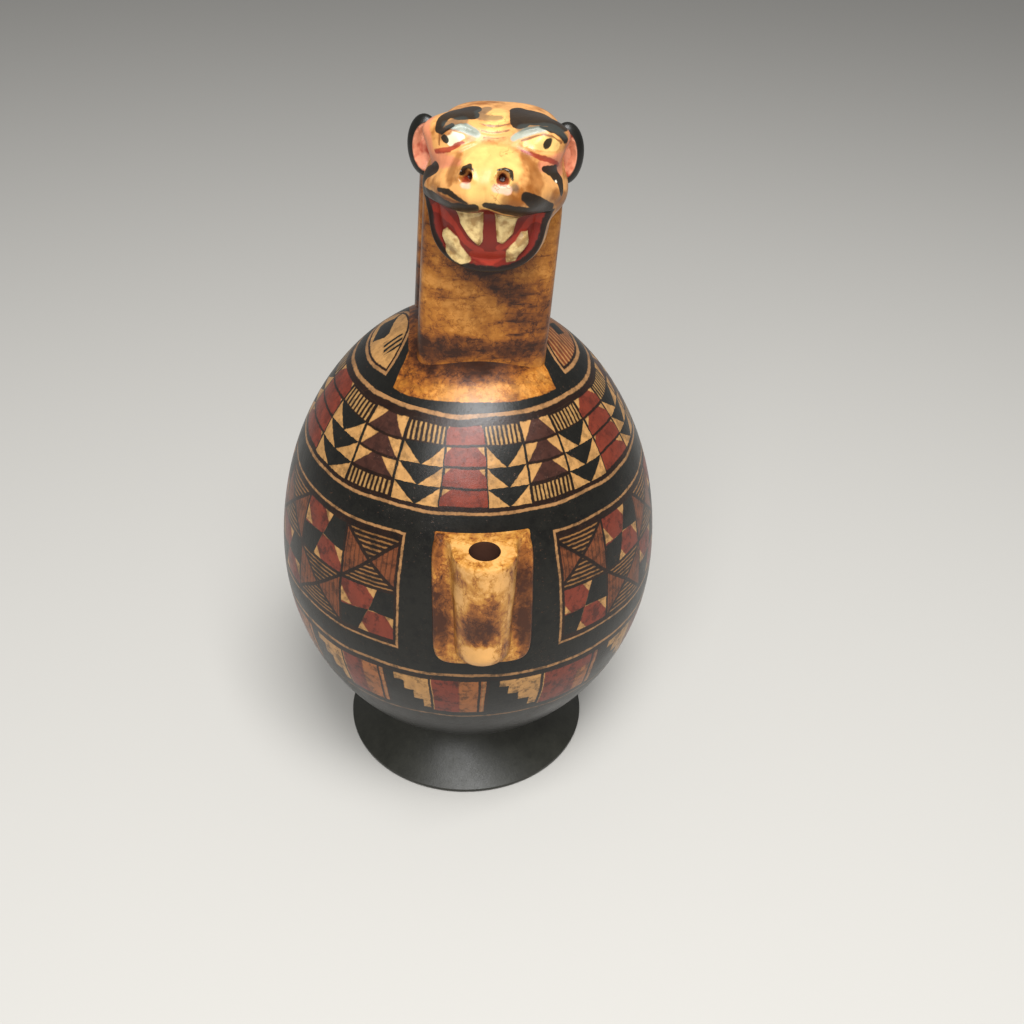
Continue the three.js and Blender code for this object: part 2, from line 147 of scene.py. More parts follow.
# %% Body and foot
BODY_RADIUS, WIDEST_HEIGHT, DOME_RISE = 67.4, 88.0, 92.0
FOOT_RADIUS, FOOT_HEIGHT, WAIST_RADIUS, FOOT_RIM, FOOT_FLARE = 47.0, 19.0, 31.4, 2.0, 1.6
WALL, HAND_WAVE, NEAR_POLE = 6.0, 0.22, 1.555
BOWL_DROP = (WIDEST_HEIGHT - FOOT_HEIGHT) / math.sqrt(1 - (WAIST_RADIUS / BODY_RADIUS) ** 2)
DOME_TOP = WIDEST_HEIGHT + DOME_RISE


def body_radius(z, inset=0.0):
    """Radius of the body at height z: R * sqrt(1 - (distance from the widest height / half height)^2)."""
    half = np.where(z > WIDEST_HEIGHT, DOME_RISE, BOWL_DROP) - inset
    share = np.clip(np.abs(z - WIDEST_HEIGHT) / half, 0, 1)
    return (BODY_RADIUS - inset) * np.sqrt(1 - share ** 2)


def foot_radius(z):
    """Radius of the foot's flare: from the waist out to the rim by a power of the share of the way down."""
    share = np.clip(1 - (z - FOOT_RIM) / (FOOT_HEIGHT - FOOT_RIM), 0, 1)
    return WAIST_RADIUS + (FOOT_RADIUS - WAIST_RADIUS) * share ** FOOT_FLARE


def body_arc(inset, steps, waist):
    """Profile of the body from the waist to near the pole, at even steps of each half ellipse's angle."""
    low = math.asin((waist - WIDEST_HEIGHT) / (BOWL_DROP - inset))
    angle = np.concatenate([np.linspace(low, 0, steps, endpoint=False), np.linspace(0, NEAR_POLE, steps)])
    half = np.where(angle < 0, BOWL_DROP, DOME_RISE) - inset
    return np.stack([(BODY_RADIUS - inset) * np.cos(angle), WIDEST_HEIGHT + half * np.sin(angle)], axis=-1)


def turned(profile, sides, wave=0.0):
    """Rings of a profile [radius, height] around +Z, sunk by wave * (slow sines of angle and height)."""
    angle = np.arange(sides) * 2 * math.pi / sides
    r, z = profile[:, 0, None], profile[:, 1, None]
    ripple = (1 + np.sin(2 * angle + 1.1 + z / 40) * 0.5 + np.sin(3 * angle - z / 25) * 0.3
              + np.sin(z / 7.5 + 0.8 * np.sin(angle)) * 0.2)
    r = r - wave * ripple * np.clip(r / 30, 0, 1)
    return np.stack([r * np.sin(angle), -r * np.cos(angle), np.broadcast_to(z, r.shape)], axis=-1)


# The foot's rounded lower edge: how far in from its rim, and how high.
edge_in, edge_up = np.array([[35, 17, 1.6, 0.7, 0.2, 0], [0, 0, 0, 0.15, 0.6, 1.2]])
foot_z = np.linspace(FOOT_RIM, FOOT_HEIGHT, 18, endpoint=False)
profile = np.concatenate([np.stack([FOOT_RADIUS - edge_in, edge_up], axis=-1),
                          np.stack([foot_radius(foot_z), foot_z], axis=-1), body_arc(0, 48, FOOT_HEIGHT)])
body = solid("vessel_skin", turned(profile, 208, HAND_WAVE), FINISHES["burnished_black_slip"])

hollow_waist = FOOT_HEIGHT + WALL / 2
hollow_z = np.linspace(WALL, hollow_waist, 6, endpoint=False)
hollow_profile = np.concatenate([[[12, WALL]], np.stack([foot_radius(hollow_z) - WALL, hollow_z], axis=-1),
                                 body_arc(WALL, 14, hollow_waist)])
cavity = solid("cavity", turned(hollow_profile, 60), FINISHES["bare_fired_clay"])

# %% [markdown]
# The stirrup is a hollow strap of clay, bent over like a basket handle. Its section is a super-ellipse, a
# rounded rectangle, that is carried up the front leg, over the arch and down the back leg.

# %% Stirrup
STRAP_WIDTH, STRAP_DEPTH, STRAP_WALL, STRAP_SQUARENESS = 40.5, 16.0, 5.0, 3.6
STIRRUP_GAP, STIRRUP_RISE, STRAP_OFFSET, STRAP_LEAN = 17.0, 58.5, 2.2, math.tan(math.radians(3))
LEG_Y = (STIRRUP_GAP + STRAP_DEPTH) / 2
STIRRUP_TOP = DOME_TOP + STIRRUP_RISE
ARCH_HEIGHT = STIRRUP_TOP - STRAP_DEPTH / 2 - LEG_Y
ROOT_HEIGHT = DOME_TOP - 3 * WALL


def lean(z):
    """How far the strap's middle stands to the right at height z."""
    return STRAP_OFFSET + (z - DOME_TOP) * STRAP_LEAN


def strap(width, depth, leg_rows, arch_rows, sides):
    """Rings of a section |x/a|^n + |y/b|^n = 1 that moves up, turns half a circle, and goes down."""
    up = np.linspace(ROOT_HEIGHT, ARCH_HEIGHT, leg_rows, endpoint=False)
    turn = np.linspace(0, math.pi, arch_rows)
    y = np.concatenate([np.full(leg_rows, -LEG_Y), -LEG_Y * np.cos(turn), np.full(leg_rows, LEG_Y)])
    z = np.concatenate([up, ARCH_HEIGHT + LEG_Y * np.sin(turn), up[::-1]])
    tilt = np.concatenate([np.zeros(leg_rows), turn, np.full(leg_rows, math.pi)])[:, None]
    across, out = super_ellipse(sides, width / 2, depth / 2, STRAP_SQUARENESS)
    height = z[:, None] - out * np.sin(tilt)
    return np.stack([lean(height) + across, y[:, None] + out * np.cos(tilt), height], axis=-1)


stirrup = solid("stirrup", strap(STRAP_WIDTH, STRAP_DEPTH, 24, 40, 80), FINISHES["orange_slip_stirrup"])
stirrup_hollow = solid("stirrup_hollow", strap(STRAP_WIDTH - 2 * STRAP_WALL, STRAP_DEPTH - 2 * STRAP_WALL,
                                               6, 16, 24), FINISHES["bare_fired_clay"])

# %% [markdown]
# The head was pressed and pinched from soft clay, so it is a blend of rounded masses: skull, muzzle, two
# whisker pads, jaw, brows, eyeballs and cheeks. Sculpting by hand would do too. A blend of super-ellipsoids
# keeps every mass at a known place and size, and the same masses make the plain solid. The surface is found
# along rays from the head's middle, by halving.

# %% Head form
HEAD_HEIGHT, HEAD_UNITS, HEAD_TOP_UNITS, FACE_FORWARD_UNITS = 44.0, 44.0, 21, 4
HEAD_ABOVE_STIRRUP, HEAD_OFFSET, HEAD_WALL, HEAD_YAW = 11.5, 1.2, 7.0, math.radians(-10)
HEAD_SCALE = HEAD_HEIGHT / HEAD_UNITS
HEAD_MIDDLE = np.array([0.0, 2.0, 0.0])
HEAD_CENTRE = np.array([lean(STIRRUP_TOP) - HEAD_OFFSET,
                        -LEG_Y - STRAP_DEPTH / 2 - FACE_FORWARD_UNITS * HEAD_SCALE,
                        STIRRUP_TOP + HEAD_ABOVE_STIRRUP - HEAD_TOP_UNITS * HEAD_SCALE])
# Centre, half sizes, squareness, and whether the mass has a twin on the other side.
MASSES = {
    "skull": ((0, 5.5, 8.5), (17.6, 14, 12.5), 3.0, False),
    "muzzle": ((0.3, -9.5, 8.2), (11.5, 13, 7.0), 2.3, False),
    "whisker pad": ((6.2, -12, 4.2), (8.0, 9.5, 5.2), 2, True),
    "jaw": ((-1.2, -3, -7), (16.3, 15.5, 14), 2.2, False),
    "brow": ((10.5, -4, 17), (8.5, 6, 3.6), 2, True),
    "eyeball": ((10.8, -7, 12.6), (5.6, 4.0, 3.4), 2, True),
    "cheek": ((12.5, -3, 2), (7.0, 9.0, 6.5), 2, True),
}
BLEND, HALVINGS, FACE_CROWDING = 1.5, 24, 1.15


def head_depth(p):
    """Depth inside the blended masses: BLEND * log of the sum of exp(depth in each mass / BLEND)."""
    total = 0.0
    for (cx, cy, cz), half, square, twin in MASSES.values():
        for side in ((-1, 1) if twin else (1,)):
            d = np.abs(p - np.array([side * cx, cy, cz])) / np.array(half)
            reach = (d ** square).sum(axis=-1) ** (1 / square)
            total = total + np.exp((1 - reach) * min(half) / BLEND)
    return BLEND * np.log(total)


def ways_of(rows, sides):
    """Unit directions on rings around the line from the nose to the back of the head."""
    polar = (math.pi * (np.arange(1, rows) / rows) ** FACE_CROWDING)[:, None]
    a = np.arange(sides) * 2 * math.pi / sides
    return np.stack([np.sin(polar) * np.cos(a), -np.cos(polar) + 0 * a, np.sin(polar) * np.sin(a)], axis=-1)


def head_reach(ways):
    """Distance from the head's middle to its surface in each direction, by halving the way each time."""
    near, far = np.zeros(ways.shape[:-1]), np.full(ways.shape[:-1], HEAD_UNITS)
    for _ in range(HALVINGS):
        half = (near + far) / 2
        inside = head_depth(HEAD_MIDDLE + ways * half[..., None]) > 0
        near, far = np.where(inside, half, near), np.where(inside, far, half)
    return near


def head_place(p):
    """From the head's own frame to the vessel's: scale, turn about +Z, and move to the head's centre."""
    return turned_about_z(p * HEAD_SCALE, HEAD_YAW) + HEAD_CENTRE


def head_local(p):
    """From the vessel's frame back to the head's own."""
    return turned_about_z((p - HEAD_CENTRE) / HEAD_SCALE, -HEAD_YAW)


# %% [markdown]
# Relief and paint of the face share one map, like a flat sheet that is wrapped over the head from the nose:
# the distance on the sheet is the angle from the nose, times 22 mm, the head's radius. A stroke is a row of
# points with a width at each, as a brush or a modelling tool leaves it.

# %% Map of the face, and strokes on it
FACE_RADIUS = 22.0
FAR_OUTSIDE = -99.0


def face_map(ways):
    """Map place of directions: FACE_RADIUS * angle from the nose * (cos, sin) of the angle around it."""
    polar = np.arccos(np.clip(-ways[..., 1], -1, 1))
    around = np.arctan2(ways[..., 2], ways[..., 0])
    return FACE_RADIUS * np.stack([polar * np.cos(around), polar * np.sin(around)], axis=-1)


def stroke(m, *points):
    """Depth inside a stroke through (s, t, half width) points: the width minus the distance to the line."""
    best = np.full(m.shape[:-1], FAR_OUTSIDE)
    points = points if len(points) > 1 else points * 2
    for a, b in zip(points[:-1], points[1:]):
        start, way = np.array(a[:2]), np.array(b[:2]) - np.array(a[:2])
        share = np.clip(((m - start) @ way) / max(float(way @ way), 1e-9), 0, 1)
        gap = np.linalg.norm(m - start - share[..., None] * way, axis=-1)
        best = np.maximum(best, a[2] + (b[2] - a[2]) * share - gap)
    return best


def smooth(low, high, value):
    """0 at low, 1 at high, and 3u^2 - 2u^3 between."""
    u = np.clip((value - low) / (high - low), 0, 1)
    return u * u * (3 - 2 * u)


def bump(m, height, softness, *points):
    """A rounded ridge along a stroke, full inside it and gone one softness outside."""
    return height * smooth(-softness, softness, stroke(m, *points))


# %% [markdown]
# The mouth is a shallow scoop that closes in a bow to the chin, with a raised lower lip. Two fangs hang
# from the upper lip and two teeth stand on the lower one. Lids, brow folds, nose wrinkles and nostrils are
# pressed in or laid on.

# %% Face relief
MOUTH = {"middle": -2.6, "half": 22.2, "lip": 0.4, "chin": -18.4, "depth": 2.4, "bow": 2.2}
TOOTH_RISE = 1.4
TEETH = (((-10.6, -1.0), (-9.4, -4.8), (-6.2, -8.4), (-3.4, -10.6), (-2.5, -9.6), (-2.4, -0.5)),
         ((1.8, -0.9), (2.6, -9.4), (4.0, -10.0), (7.0, -7.4), (8.7, -2.8), (8.8, -0.5)),
         ((-16.4, -10.4), (-13.2, -15.4), (-9.0, -18.0), (-6.2, -16.8), (-10.6, -9.6), (-14.4, -8.4)),
         ((5.4, -12.8), (5.2, -16.8), (7.6, -16.4), (12.6, -11.8), (12.4, -8.2), (10.4, -8.0)))
NOSTRILS, NOSTRIL_DEPTH, NOSTRIL_RADIUS = ((-5.4, 9.3), (3.1, 9.4)), 3.6, 1.25


def wedge(m, corners):
    """Depth in mm inside a convex outline whose corners turn left: the least distance to a side."""
    corners = np.array(corners)
    sides = np.roll(corners, -1, axis=0) - corners
    inward = np.stack([-sides[:, 1], sides[:, 0]], axis=-1) / np.linalg.norm(sides, axis=-1, keepdims=True)
    return np.min(m @ inward.T - np.sum(corners * inward, axis=-1), axis=-1)


def mouth_depth(m):
    """Depth inside the mouth: H * (1 - (side^p + share^p)^(1/p)) with p the bow, and below the bowed lip."""
    s, t = m[..., 0], m[..., 1]
    lip = MOUTH["lip"] + 1.6 * np.exp(-((s + 0.8) / 3.0) ** 2) - 0.09 * np.clip(s, 0, None)
    drop = MOUTH["lip"] - MOUTH["chin"]
    share = np.clip((MOUTH["lip"] - t) / drop, 0, None)
    side = np.abs(s - MOUTH["middle"] * np.clip(1 - share ** 2, 0, 1)) / MOUTH["half"]
    out = (side ** MOUTH["bow"] + share ** MOUTH["bow"]) ** (1 / MOUTH["bow"])
    return np.minimum(drop * (1 - out), lip - t)


def face_relief(m):
    """Height over the plain masses: the scoop of the mouth, teeth, lips, lids, folds and nostrils."""
    inside = mouth_depth(m)
    h = -MOUTH["depth"] * smooth(-0.5, 1.8, inside)
    h += 0.5 * np.exp(-((inside + 0.6) / 0.9) ** 2) * smooth(-1.5, -5, m[..., 1])
    for tooth in TEETH:
        h += TOOTH_RISE * smooth(-0.7, 0.9, wedge(m, tooth)) * smooth(-0.6, 0.8, inside)
    # Eyeball, upper lid, lower lid and cheek fold, on both sides.
    for side, x in ((-1, 9.8), (1, 12.4)):
        h += bump(m, 0.9, 1.8, (side * x, 18.4, 1.4))
        h += bump(m, 0.8, 0.6, (side * (x + 4.5), 17.4, 0.3), (side * x, 21.8, 0.6),
                  (side * (x - 4), 21.6, 0.3))
        h += bump(m, 0.5, 0.5, (side * (x + 5.5), 14.6, 0.3), (side * x, 15.6, 0.4),
                  (side * (x - 4), 18.6, 0.2))
        h += bump(m, 0.7, 1.8, (side * 14, 8.5, 1.5), (side * 20, 4.5, 2.0))
    # Three wrinkles over the nose.
    for t in (22.2, 24.4, 26.4):
        h -= bump(m, 0.35, 0.5, (-4.4, t, 0.1), (0.2, t + 0.3, 0.2), (4.8, t + 0.6, 0.1))
    for s, t in NOSTRILS:
        h += bump(m, 0.6, 0.9, (s - 2.0, t - 0.6, 0.3), (s - 1.1, t + 1.9, 0.4), (s + 1.1, t + 1.9, 0.4),
                  (s + 2.0, t - 0.6, 0.3))
        h -= bump(m, NOSTRIL_DEPTH, 0.6, (s, t, NOSTRIL_RADIUS))
    # The groove from the nose to the lip.
    h -= bump(m, 0.6, 1.0, (-0.8, 3.4, 0.2), (-0.9, 6.5, 0.1))
    return h


head_ways = ways_of(216, 240)
head_points = HEAD_MIDDLE + head_ways * (head_reach(head_ways) + face_relief(face_map(head_ways)))[..., None]
head = solid("head", head_place(head_points), FINISHES["painted_clay_head"])
hollow_ways = ways_of(12, 20)
hollow_points = HEAD_MIDDLE + hollow_ways * (head_reach(hollow_ways) - HEAD_WALL / HEAD_SCALE)[..., None]
head_hollow = solid("head_hollow", head_place(hollow_points), FINISHES["bare_fired_clay"])

# %% [markdown]
# An ear is a flattened ball of clay, pressed in with a fingertip from the front. A ball pushed in by a
# smooth step gives that dent and its soft rim in one surface. Both ears sit a little to one side.

# %% Ears
EAR_AT, EAR_HALF, EAR_CUP, EAR_TURN, EAR_SHIFT = (19.4, 3.8, 10.0), (5.1, 3.4, 8.5), 2.6, 14.0, -0.9
CUP_OFFSET = 0.28


def ear_middle(side):
    """Place of an ear's middle in the head's own frame."""
    return np.array([side * EAR_AT[0] + EAR_SHIFT, EAR_AT[1], EAR_AT[2]])


def ear_rings(side, rows, sides):
    """Ellipsoid rings around the ear's own forward line, pressed back in a round cup near the head."""
    polar = (math.pi * np.arange(1, rows) / rows)[:, None]
    a = np.arange(sides) * 2 * math.pi / sides
    x, z = np.sin(polar) * np.cos(a), np.sin(polar) * np.sin(a)
    cup = smooth(0.80, 0.45, np.hypot(x + side * CUP_OFFSET, z)) * smooth(-0.1, 0.3, np.cos(polar))
    p = np.stack([x * EAR_HALF[0], -np.cos(polar) * EAR_HALF[1] + EAR_CUP * cup, z * EAR_HALF[2]], axis=-1)
    return head_place(turned_about_z(p, side * math.radians(EAR_TURN)) + ear_middle(side))


ears = [solid(f"ear_{word}", ear_rings(side, 26, 44), FINISHES["painted_clay_ear"])
        for side, word in ((-1, "left"), (1, "right"))]

# %% [markdown]
# The lug in front is a plate that hugs the body, and on it an upright half tube with a flat top, through
# which the pouring hole goes down. Both are luted on with wet clay, and a wet finger drawn down each side
# leaves a hollow flank between them.

# %% Lug
LUG_WIDTH, LUG_HEIGHT, LUG_TOP_HEIGHT, LUG_PLATE_PROUD, PLATE_SQUARENESS = 31.5, 44.5, 133.0, 2.0, 7.5
LUG_TAPER, LUG_SLOPE = 0.88, 0.85
BORE_DIAMETER, BORE_WALL, BORE_FRONT_WALL, BORE_SETOFF, BORE_DEPTH = 9.5, 5.2, 4.8, 4.2, 25.0
PASSAGE_DIAMETER = 8.0
LUG_BOTTOM_HEIGHT = LUG_TOP_HEIGHT - LUG_HEIGHT
TUBE_RADIUS = BORE_DIAMETER / 2 + BORE_WALL
BORE_Y = -(float(body_radius(np.array(LUG_TOP_HEIGHT))) + BORE_SETOFF + BORE_DIAMETER / 2)


def lug_plate(rows, sides):
    """Rings of a rounded rectangle laid on the body, from inside it outwards, then smaller and smaller."""
    scale = np.concatenate([[1.0, 1.0, 1.0, 0.985], np.linspace(0.96, 0.08, rows)])[:, None]
    proud = LUG_PLATE_PROUD * np.concatenate([[-1.5, 0.0, 0.6, 0.9], np.ones(rows)])[:, None]
    x, z = super_ellipse(sides, LUG_WIDTH / 2, LUG_HEIGHT / 2, PLATE_SQUARENESS)[:, None] * scale
    z = (LUG_TOP_HEIGHT + LUG_BOTTOM_HEIGHT) / 2 + z
    return np.stack([x, -np.sqrt(body_radius(z, -proud) ** 2 - x ** 2), z], axis=-1)


def lug_tube(end_rows, rows, arc, wing_steps):
    """Plans of the half tube, stacked upwards: a half ellipse in front, then hollow flanks that spread as
    share^2 across and share^0.5 back, down to the plate."""
    share = 1 - np.arange(1, end_rows + 1) / end_rows
    scale = np.concatenate([(1 - share ** 3) ** (1 / 3), np.ones(rows), [0.985, 0.95]])[:, None]
    z = np.concatenate([LUG_BOTTOM_HEIGHT + TUBE_RADIUS * (1 - share),
                        np.linspace(LUG_BOTTOM_HEIGHT + TUBE_RADIUS, LUG_TOP_HEIGHT - 1.0, rows + 1)[1:],
                        [LUG_TOP_HEIGHT - 0.3, LUG_TOP_HEIGHT]])[:, None]
    up = z - LUG_BOTTOM_HEIGHT
    taper = LUG_TAPER + (1 - LUG_TAPER) * up / LUG_HEIGHT
    front = (BORE_DIAMETER / 2 + BORE_FRONT_WALL) * (LUG_SLOPE + (1 - LUG_SLOPE) * up / LUG_HEIGHT)
    wing = LUG_WIDTH / 2 - LUG_PLATE_PROUD / 2
    plate_y = -np.sqrt(body_radius(z, -LUG_PLATE_PROUD / 2) ** 2 - wing ** 2)
    back = -float(body_radius(np.array(LUG_TOP_HEIGHT), WALL / 2))
    a = math.pi + np.linspace(0, math.pi, arc)
    u = np.linspace(0, 1, wing_steps)[1:]
    flank_x = TUBE_RADIUS + (wing - TUBE_RADIUS) * u ** 2
    flank_y = BORE_Y + (plate_y - BORE_Y) * u ** 0.5
    back_x = np.linspace(wing, -wing, 8)
    across = np.concatenate([TUBE_RADIUS * np.cos(a), flank_x, back_x, -flank_x[::-1]])
    y = np.concatenate([BORE_Y + front * np.sin(a), flank_y,
                        np.full((len(z), len(back_x)), back), flank_y[:, ::-1]], axis=1)
    return np.stack([across * scale * taper, back + (y - back) * scale, z + 0 * y], axis=-1)


plate = solid("lug_plate", lug_plate(10, 160), FINISHES["orange_slip_lug"])
tube = solid("lug_tube", lug_tube(14, 24, 33, 9), FINISHES["orange_slip_lug"])

# %% [markdown]
# The hollow inside runs from the foot through the body and the stirrup into the head, and opens through
# the pouring hole. A round stick makes each passage while the clay is soft. It leaves the mouth of the
# hole a little wider.

# %% Rods that pierce the clay


def rod(name, start, end, radius, sides=36, mouth=0.0):
    """Cylinder between two points in mm, whose start may widen by mouth over its first two millimetres."""
    start, end = np.array(start, float), np.array(end, float)
    way = (end - start) / np.linalg.norm(end - start)
    side = np.cross(way, [1.0, 0.0, 0.0] if abs(way[0]) < 0.9 else [0.0, 1.0, 0.0])
    side /= np.linalg.norm(side)
    other = np.cross(way, side)
    a = np.arange(sides) * 2 * math.pi / sides
    circle = np.outer(np.cos(a), side) + np.outer(np.sin(a), other)
    stops = [(0.0, radius + mouth), (1.0, radius + mouth), (1.5, radius + mouth * 0.35), (2.4, radius)]
    rings = [start + way * d + circle * r for d, r in stops] + [end + circle * radius]
    return solid(name, np.array(rings), FINISHES["bare_fired_clay"])


bore_bottom = LUG_TOP_HEIGHT - BORE_DEPTH
bore = rod("bore", (0, BORE_Y, LUG_TOP_HEIGHT + 1), (0, BORE_Y, bore_bottom), BORE_DIAMETER / 2, mouth=0.1)
passage_z = bore_bottom + PASSAGE_DIAMETER / 2
passage_end = -float(body_radius(np.array(LUG_TOP_HEIGHT), WALL)) + WALL
passage = rod("passage", (0, BORE_Y, passage_z), (0, passage_end, passage_z), PASSAGE_DIAMETER / 2)
arch_point = (lean(ARCH_HEIGHT), -LEG_Y * math.sqrt(0.5), ARCH_HEIGHT + LEG_Y * math.sqrt(0.5))
throat = rod("throat", head_place(HEAD_MIDDLE), arch_point, PASSAGE_DIAMETER / 2)

# %% [markdown]
# All outer forms are joined into one skin, and the hollows are cut from it. The Manifold solver is quick
# and keeps a closed mesh closed.

# %% Join the forms and cut the hollows


def combine(piece, others, operation):
    """Adds one Boolean modifier for each other solid, applies them all, and deletes the others."""
    for other in others:
        step = piece.modifiers.new(f"{operation.lower()} {other.name}", "BOOLEAN")
        step.object = other
        step.operation = operation
        step.solver = "MANIFOLD"
        step.material_mode = "TRANSFER"
    seen = piece.evaluated_get(bpy.context.evaluated_depsgraph_get())
    result = bpy.data.meshes.new_from_object(seen)
    piece.modifiers.clear()
    piece.data = result
    for other in others:
        bpy.data.objects.remove(other, do_unlink=True)


combine(body, [stirrup, head, *ears, plate, tube], "UNION")
combine(body, [cavity, stirrup_hollow, head_hollow, throat, passage, bore], "DIFFERENCE")
skin = body.data
print("skin:", len(skin.vertices), "points,", len(skin.polygons), "faces, finishes",
      [m.name if m else None for m in skin.materials])

# %% [markdown]
# The painting follows the pot: rings of pattern at set heights, divided around the axis. One could unwrap
# the body and paint a picture on it. Here each pattern is worked out in the shader from the place on the
# pot, in millimetres and degrees, so it stays sharp at any distance. One helper adds a node, one turns a
# formula in ordinary signs into Math nodes, one keeps the results by name, and the last lays coats of
# paint where formulas say.

# %% Helpers for finishes
SIGNS = {ast.Add: "ADD", ast.Sub: "SUBTRACT", ast.Mult: "MULTIPLY", ast.Div: "DIVIDE",
         ast.Mod: "FLOORED_MODULO", ast.Lt: "LESS_THAN", ast.Gt: "GREATER_THAN"}
WORDS = {"abs": "ABSOLUTE", "floor": "FLOOR", "fract": "FRACT", "sqrt": "SQRT", "sin": "SINE",
         "cos": "COSINE", "atan2": "ARCTAN2", "min": "MINIMUM", "max": "MAXIMUM"}
EDGE_SHARPNESS = 4.0


def linear(colour):
    """sRGB hex to linear RGBA: c / 12.92 below 0.04045, else ((c + 0.055) / 1.055)^2.4. A link stays."""
    if isinstance(colour, bpy.types.NodeSocket):
        return colour
    c = np.array([int(colour[n:n + 2], 16) / 255 for n in (1, 3, 5)])
    c = np.where(c <= 0.04045, c / 12.92, ((c + 0.055) / 1.055) ** 2.4)
    return (*c.tolist(), 1.0)


def node(tree, kind, inputs=None, **settings):
    """Adds one shader node with its settings. Each input, by name or number, gets a value or a link."""
    made = tree.nodes.new(kind)
    for key, value in settings.items():
        setattr(made, key, value)
    for key, value in (inputs or {}).items():
        if isinstance(value, bpy.types.NodeSocket):
            tree.links.new(value, made.inputs[key])
        else:
            made.inputs[key].default_value = value
    return made


def formula(tree, text, values):
    """Turns a formula into Math nodes. edge(d) is 1 inside and 0 outside of a distance d in mm."""
    def build(part):
        if isinstance(part, ast.Constant):
            return float(part.value)
        if isinstance(part, ast.Name):
            return values[part.id]
        if isinstance(part, ast.UnaryOp):
            return build(ast.BinOp(ast.Constant(-1.0), ast.Mult(), part.operand))
        if isinstance(part, ast.Call):
            word, terms = part.func.id, [build(a) for a in part.args]
            if word == "edge":
                terms += [EDGE_SHARPNESS, 0.5]
            kind = WORDS.get(word, "MULTIPLY_ADD")
        elif isinstance(part, ast.Compare):
            word, kind, terms = "", SIGNS[type(part.ops[0])], [build(part.left), build(part.comparators[0])]
        else:
            word, kind, terms = "", SIGNS[type(part.op)], [build(part.left), build(part.right)]
        made = node(tree, "ShaderNodeMath", dict(enumerate(terms)), operation=kind, use_clamp=word == "edge")
        return made.outputs[0]
    return build(ast.parse(text).body[0].value)


def measure(tree, values, **named):
    """Adds each formula's result to the values under its name, in order, so a later one can use it."""
    for name, text in named.items():
        values[name] = formula(tree, text, values)


def coats(tree, values, ground, *layers):
    """Lays coats over a ground: each a colour, as hex or a link, and the formula of where it lies."""
    colour = linear(ground)
    for paint, where in layers:
        sockets = {0: formula(tree, where, values), 6: colour, 7: linear(paint)}
        colour = node(tree, "ShaderNodeMix", sockets, data_type="RGBA").outputs[2]
    return colour


# %% [markdown]
# Clay paint, called slip, is laid with a soft brush and then rubbed with a smooth pebble. The hand shows
# in three ways. Lines wander by half a millimetre over a finger's width, so the place is shifted by slow
# noise before any pattern is drawn. The edge of a stroke is a little ragged. And the colour is thicker and
# thinner along the stroke, with the dark wash of age left in patches.

# %% Place on the pot, with the painter's hand in it
# Size of a noise in mm and how far it moves the paint in mm: the wandering of a line, and its ragged edge.
# Noise is never below 0, so about half of both is taken off again.
WANDER, RAGGED, HALF_OF_BOTH = (22, 2.6), (1.3, 0.45), 1.53


def place(tree):
    """Links by name: mm, the moved x, y and z, the radius r, the azimuth az in degrees from the front, and
    deg, the millimetres to a degree. The number degrees is how many of them make a radian."""
    at = node(tree, "ShaderNodeTexCoord").outputs["Object"]
    mm = node(tree, "ShaderNodeVectorMath", {0: at, "Scale": 1 / MM}, operation="SCALE").outputs[0]
    moved = mm
    for size, reach in (WANDER, RAGGED):
        noise = node(tree, "ShaderNodeTexNoise", {"Vector": mm, "Scale": 1 / size, "Detail": 1.0})
        moved = node(tree, "ShaderNodeVectorMath", {0: noise.outputs["Color"], 1: (reach,) * 3, 2: moved},
                     operation="MULTIPLY_ADD").outputs[0]
    centred = node(tree, "ShaderNodeVectorMath", {0: moved, 1: (-HALF_OF_BOTH,) * 3}, operation="ADD")
    x, y, z = node(tree, "ShaderNodeSeparateXYZ", {0: centred.outputs[0]}).outputs
    p = {"mm": mm, "x": x, "y": y, "z": z, "degrees": 57.29578}
    measure(tree, p, r="sqrt(x * x + y * y)", az="atan2(x, -y) * degrees", deg="r * 0.0174533")
    return p


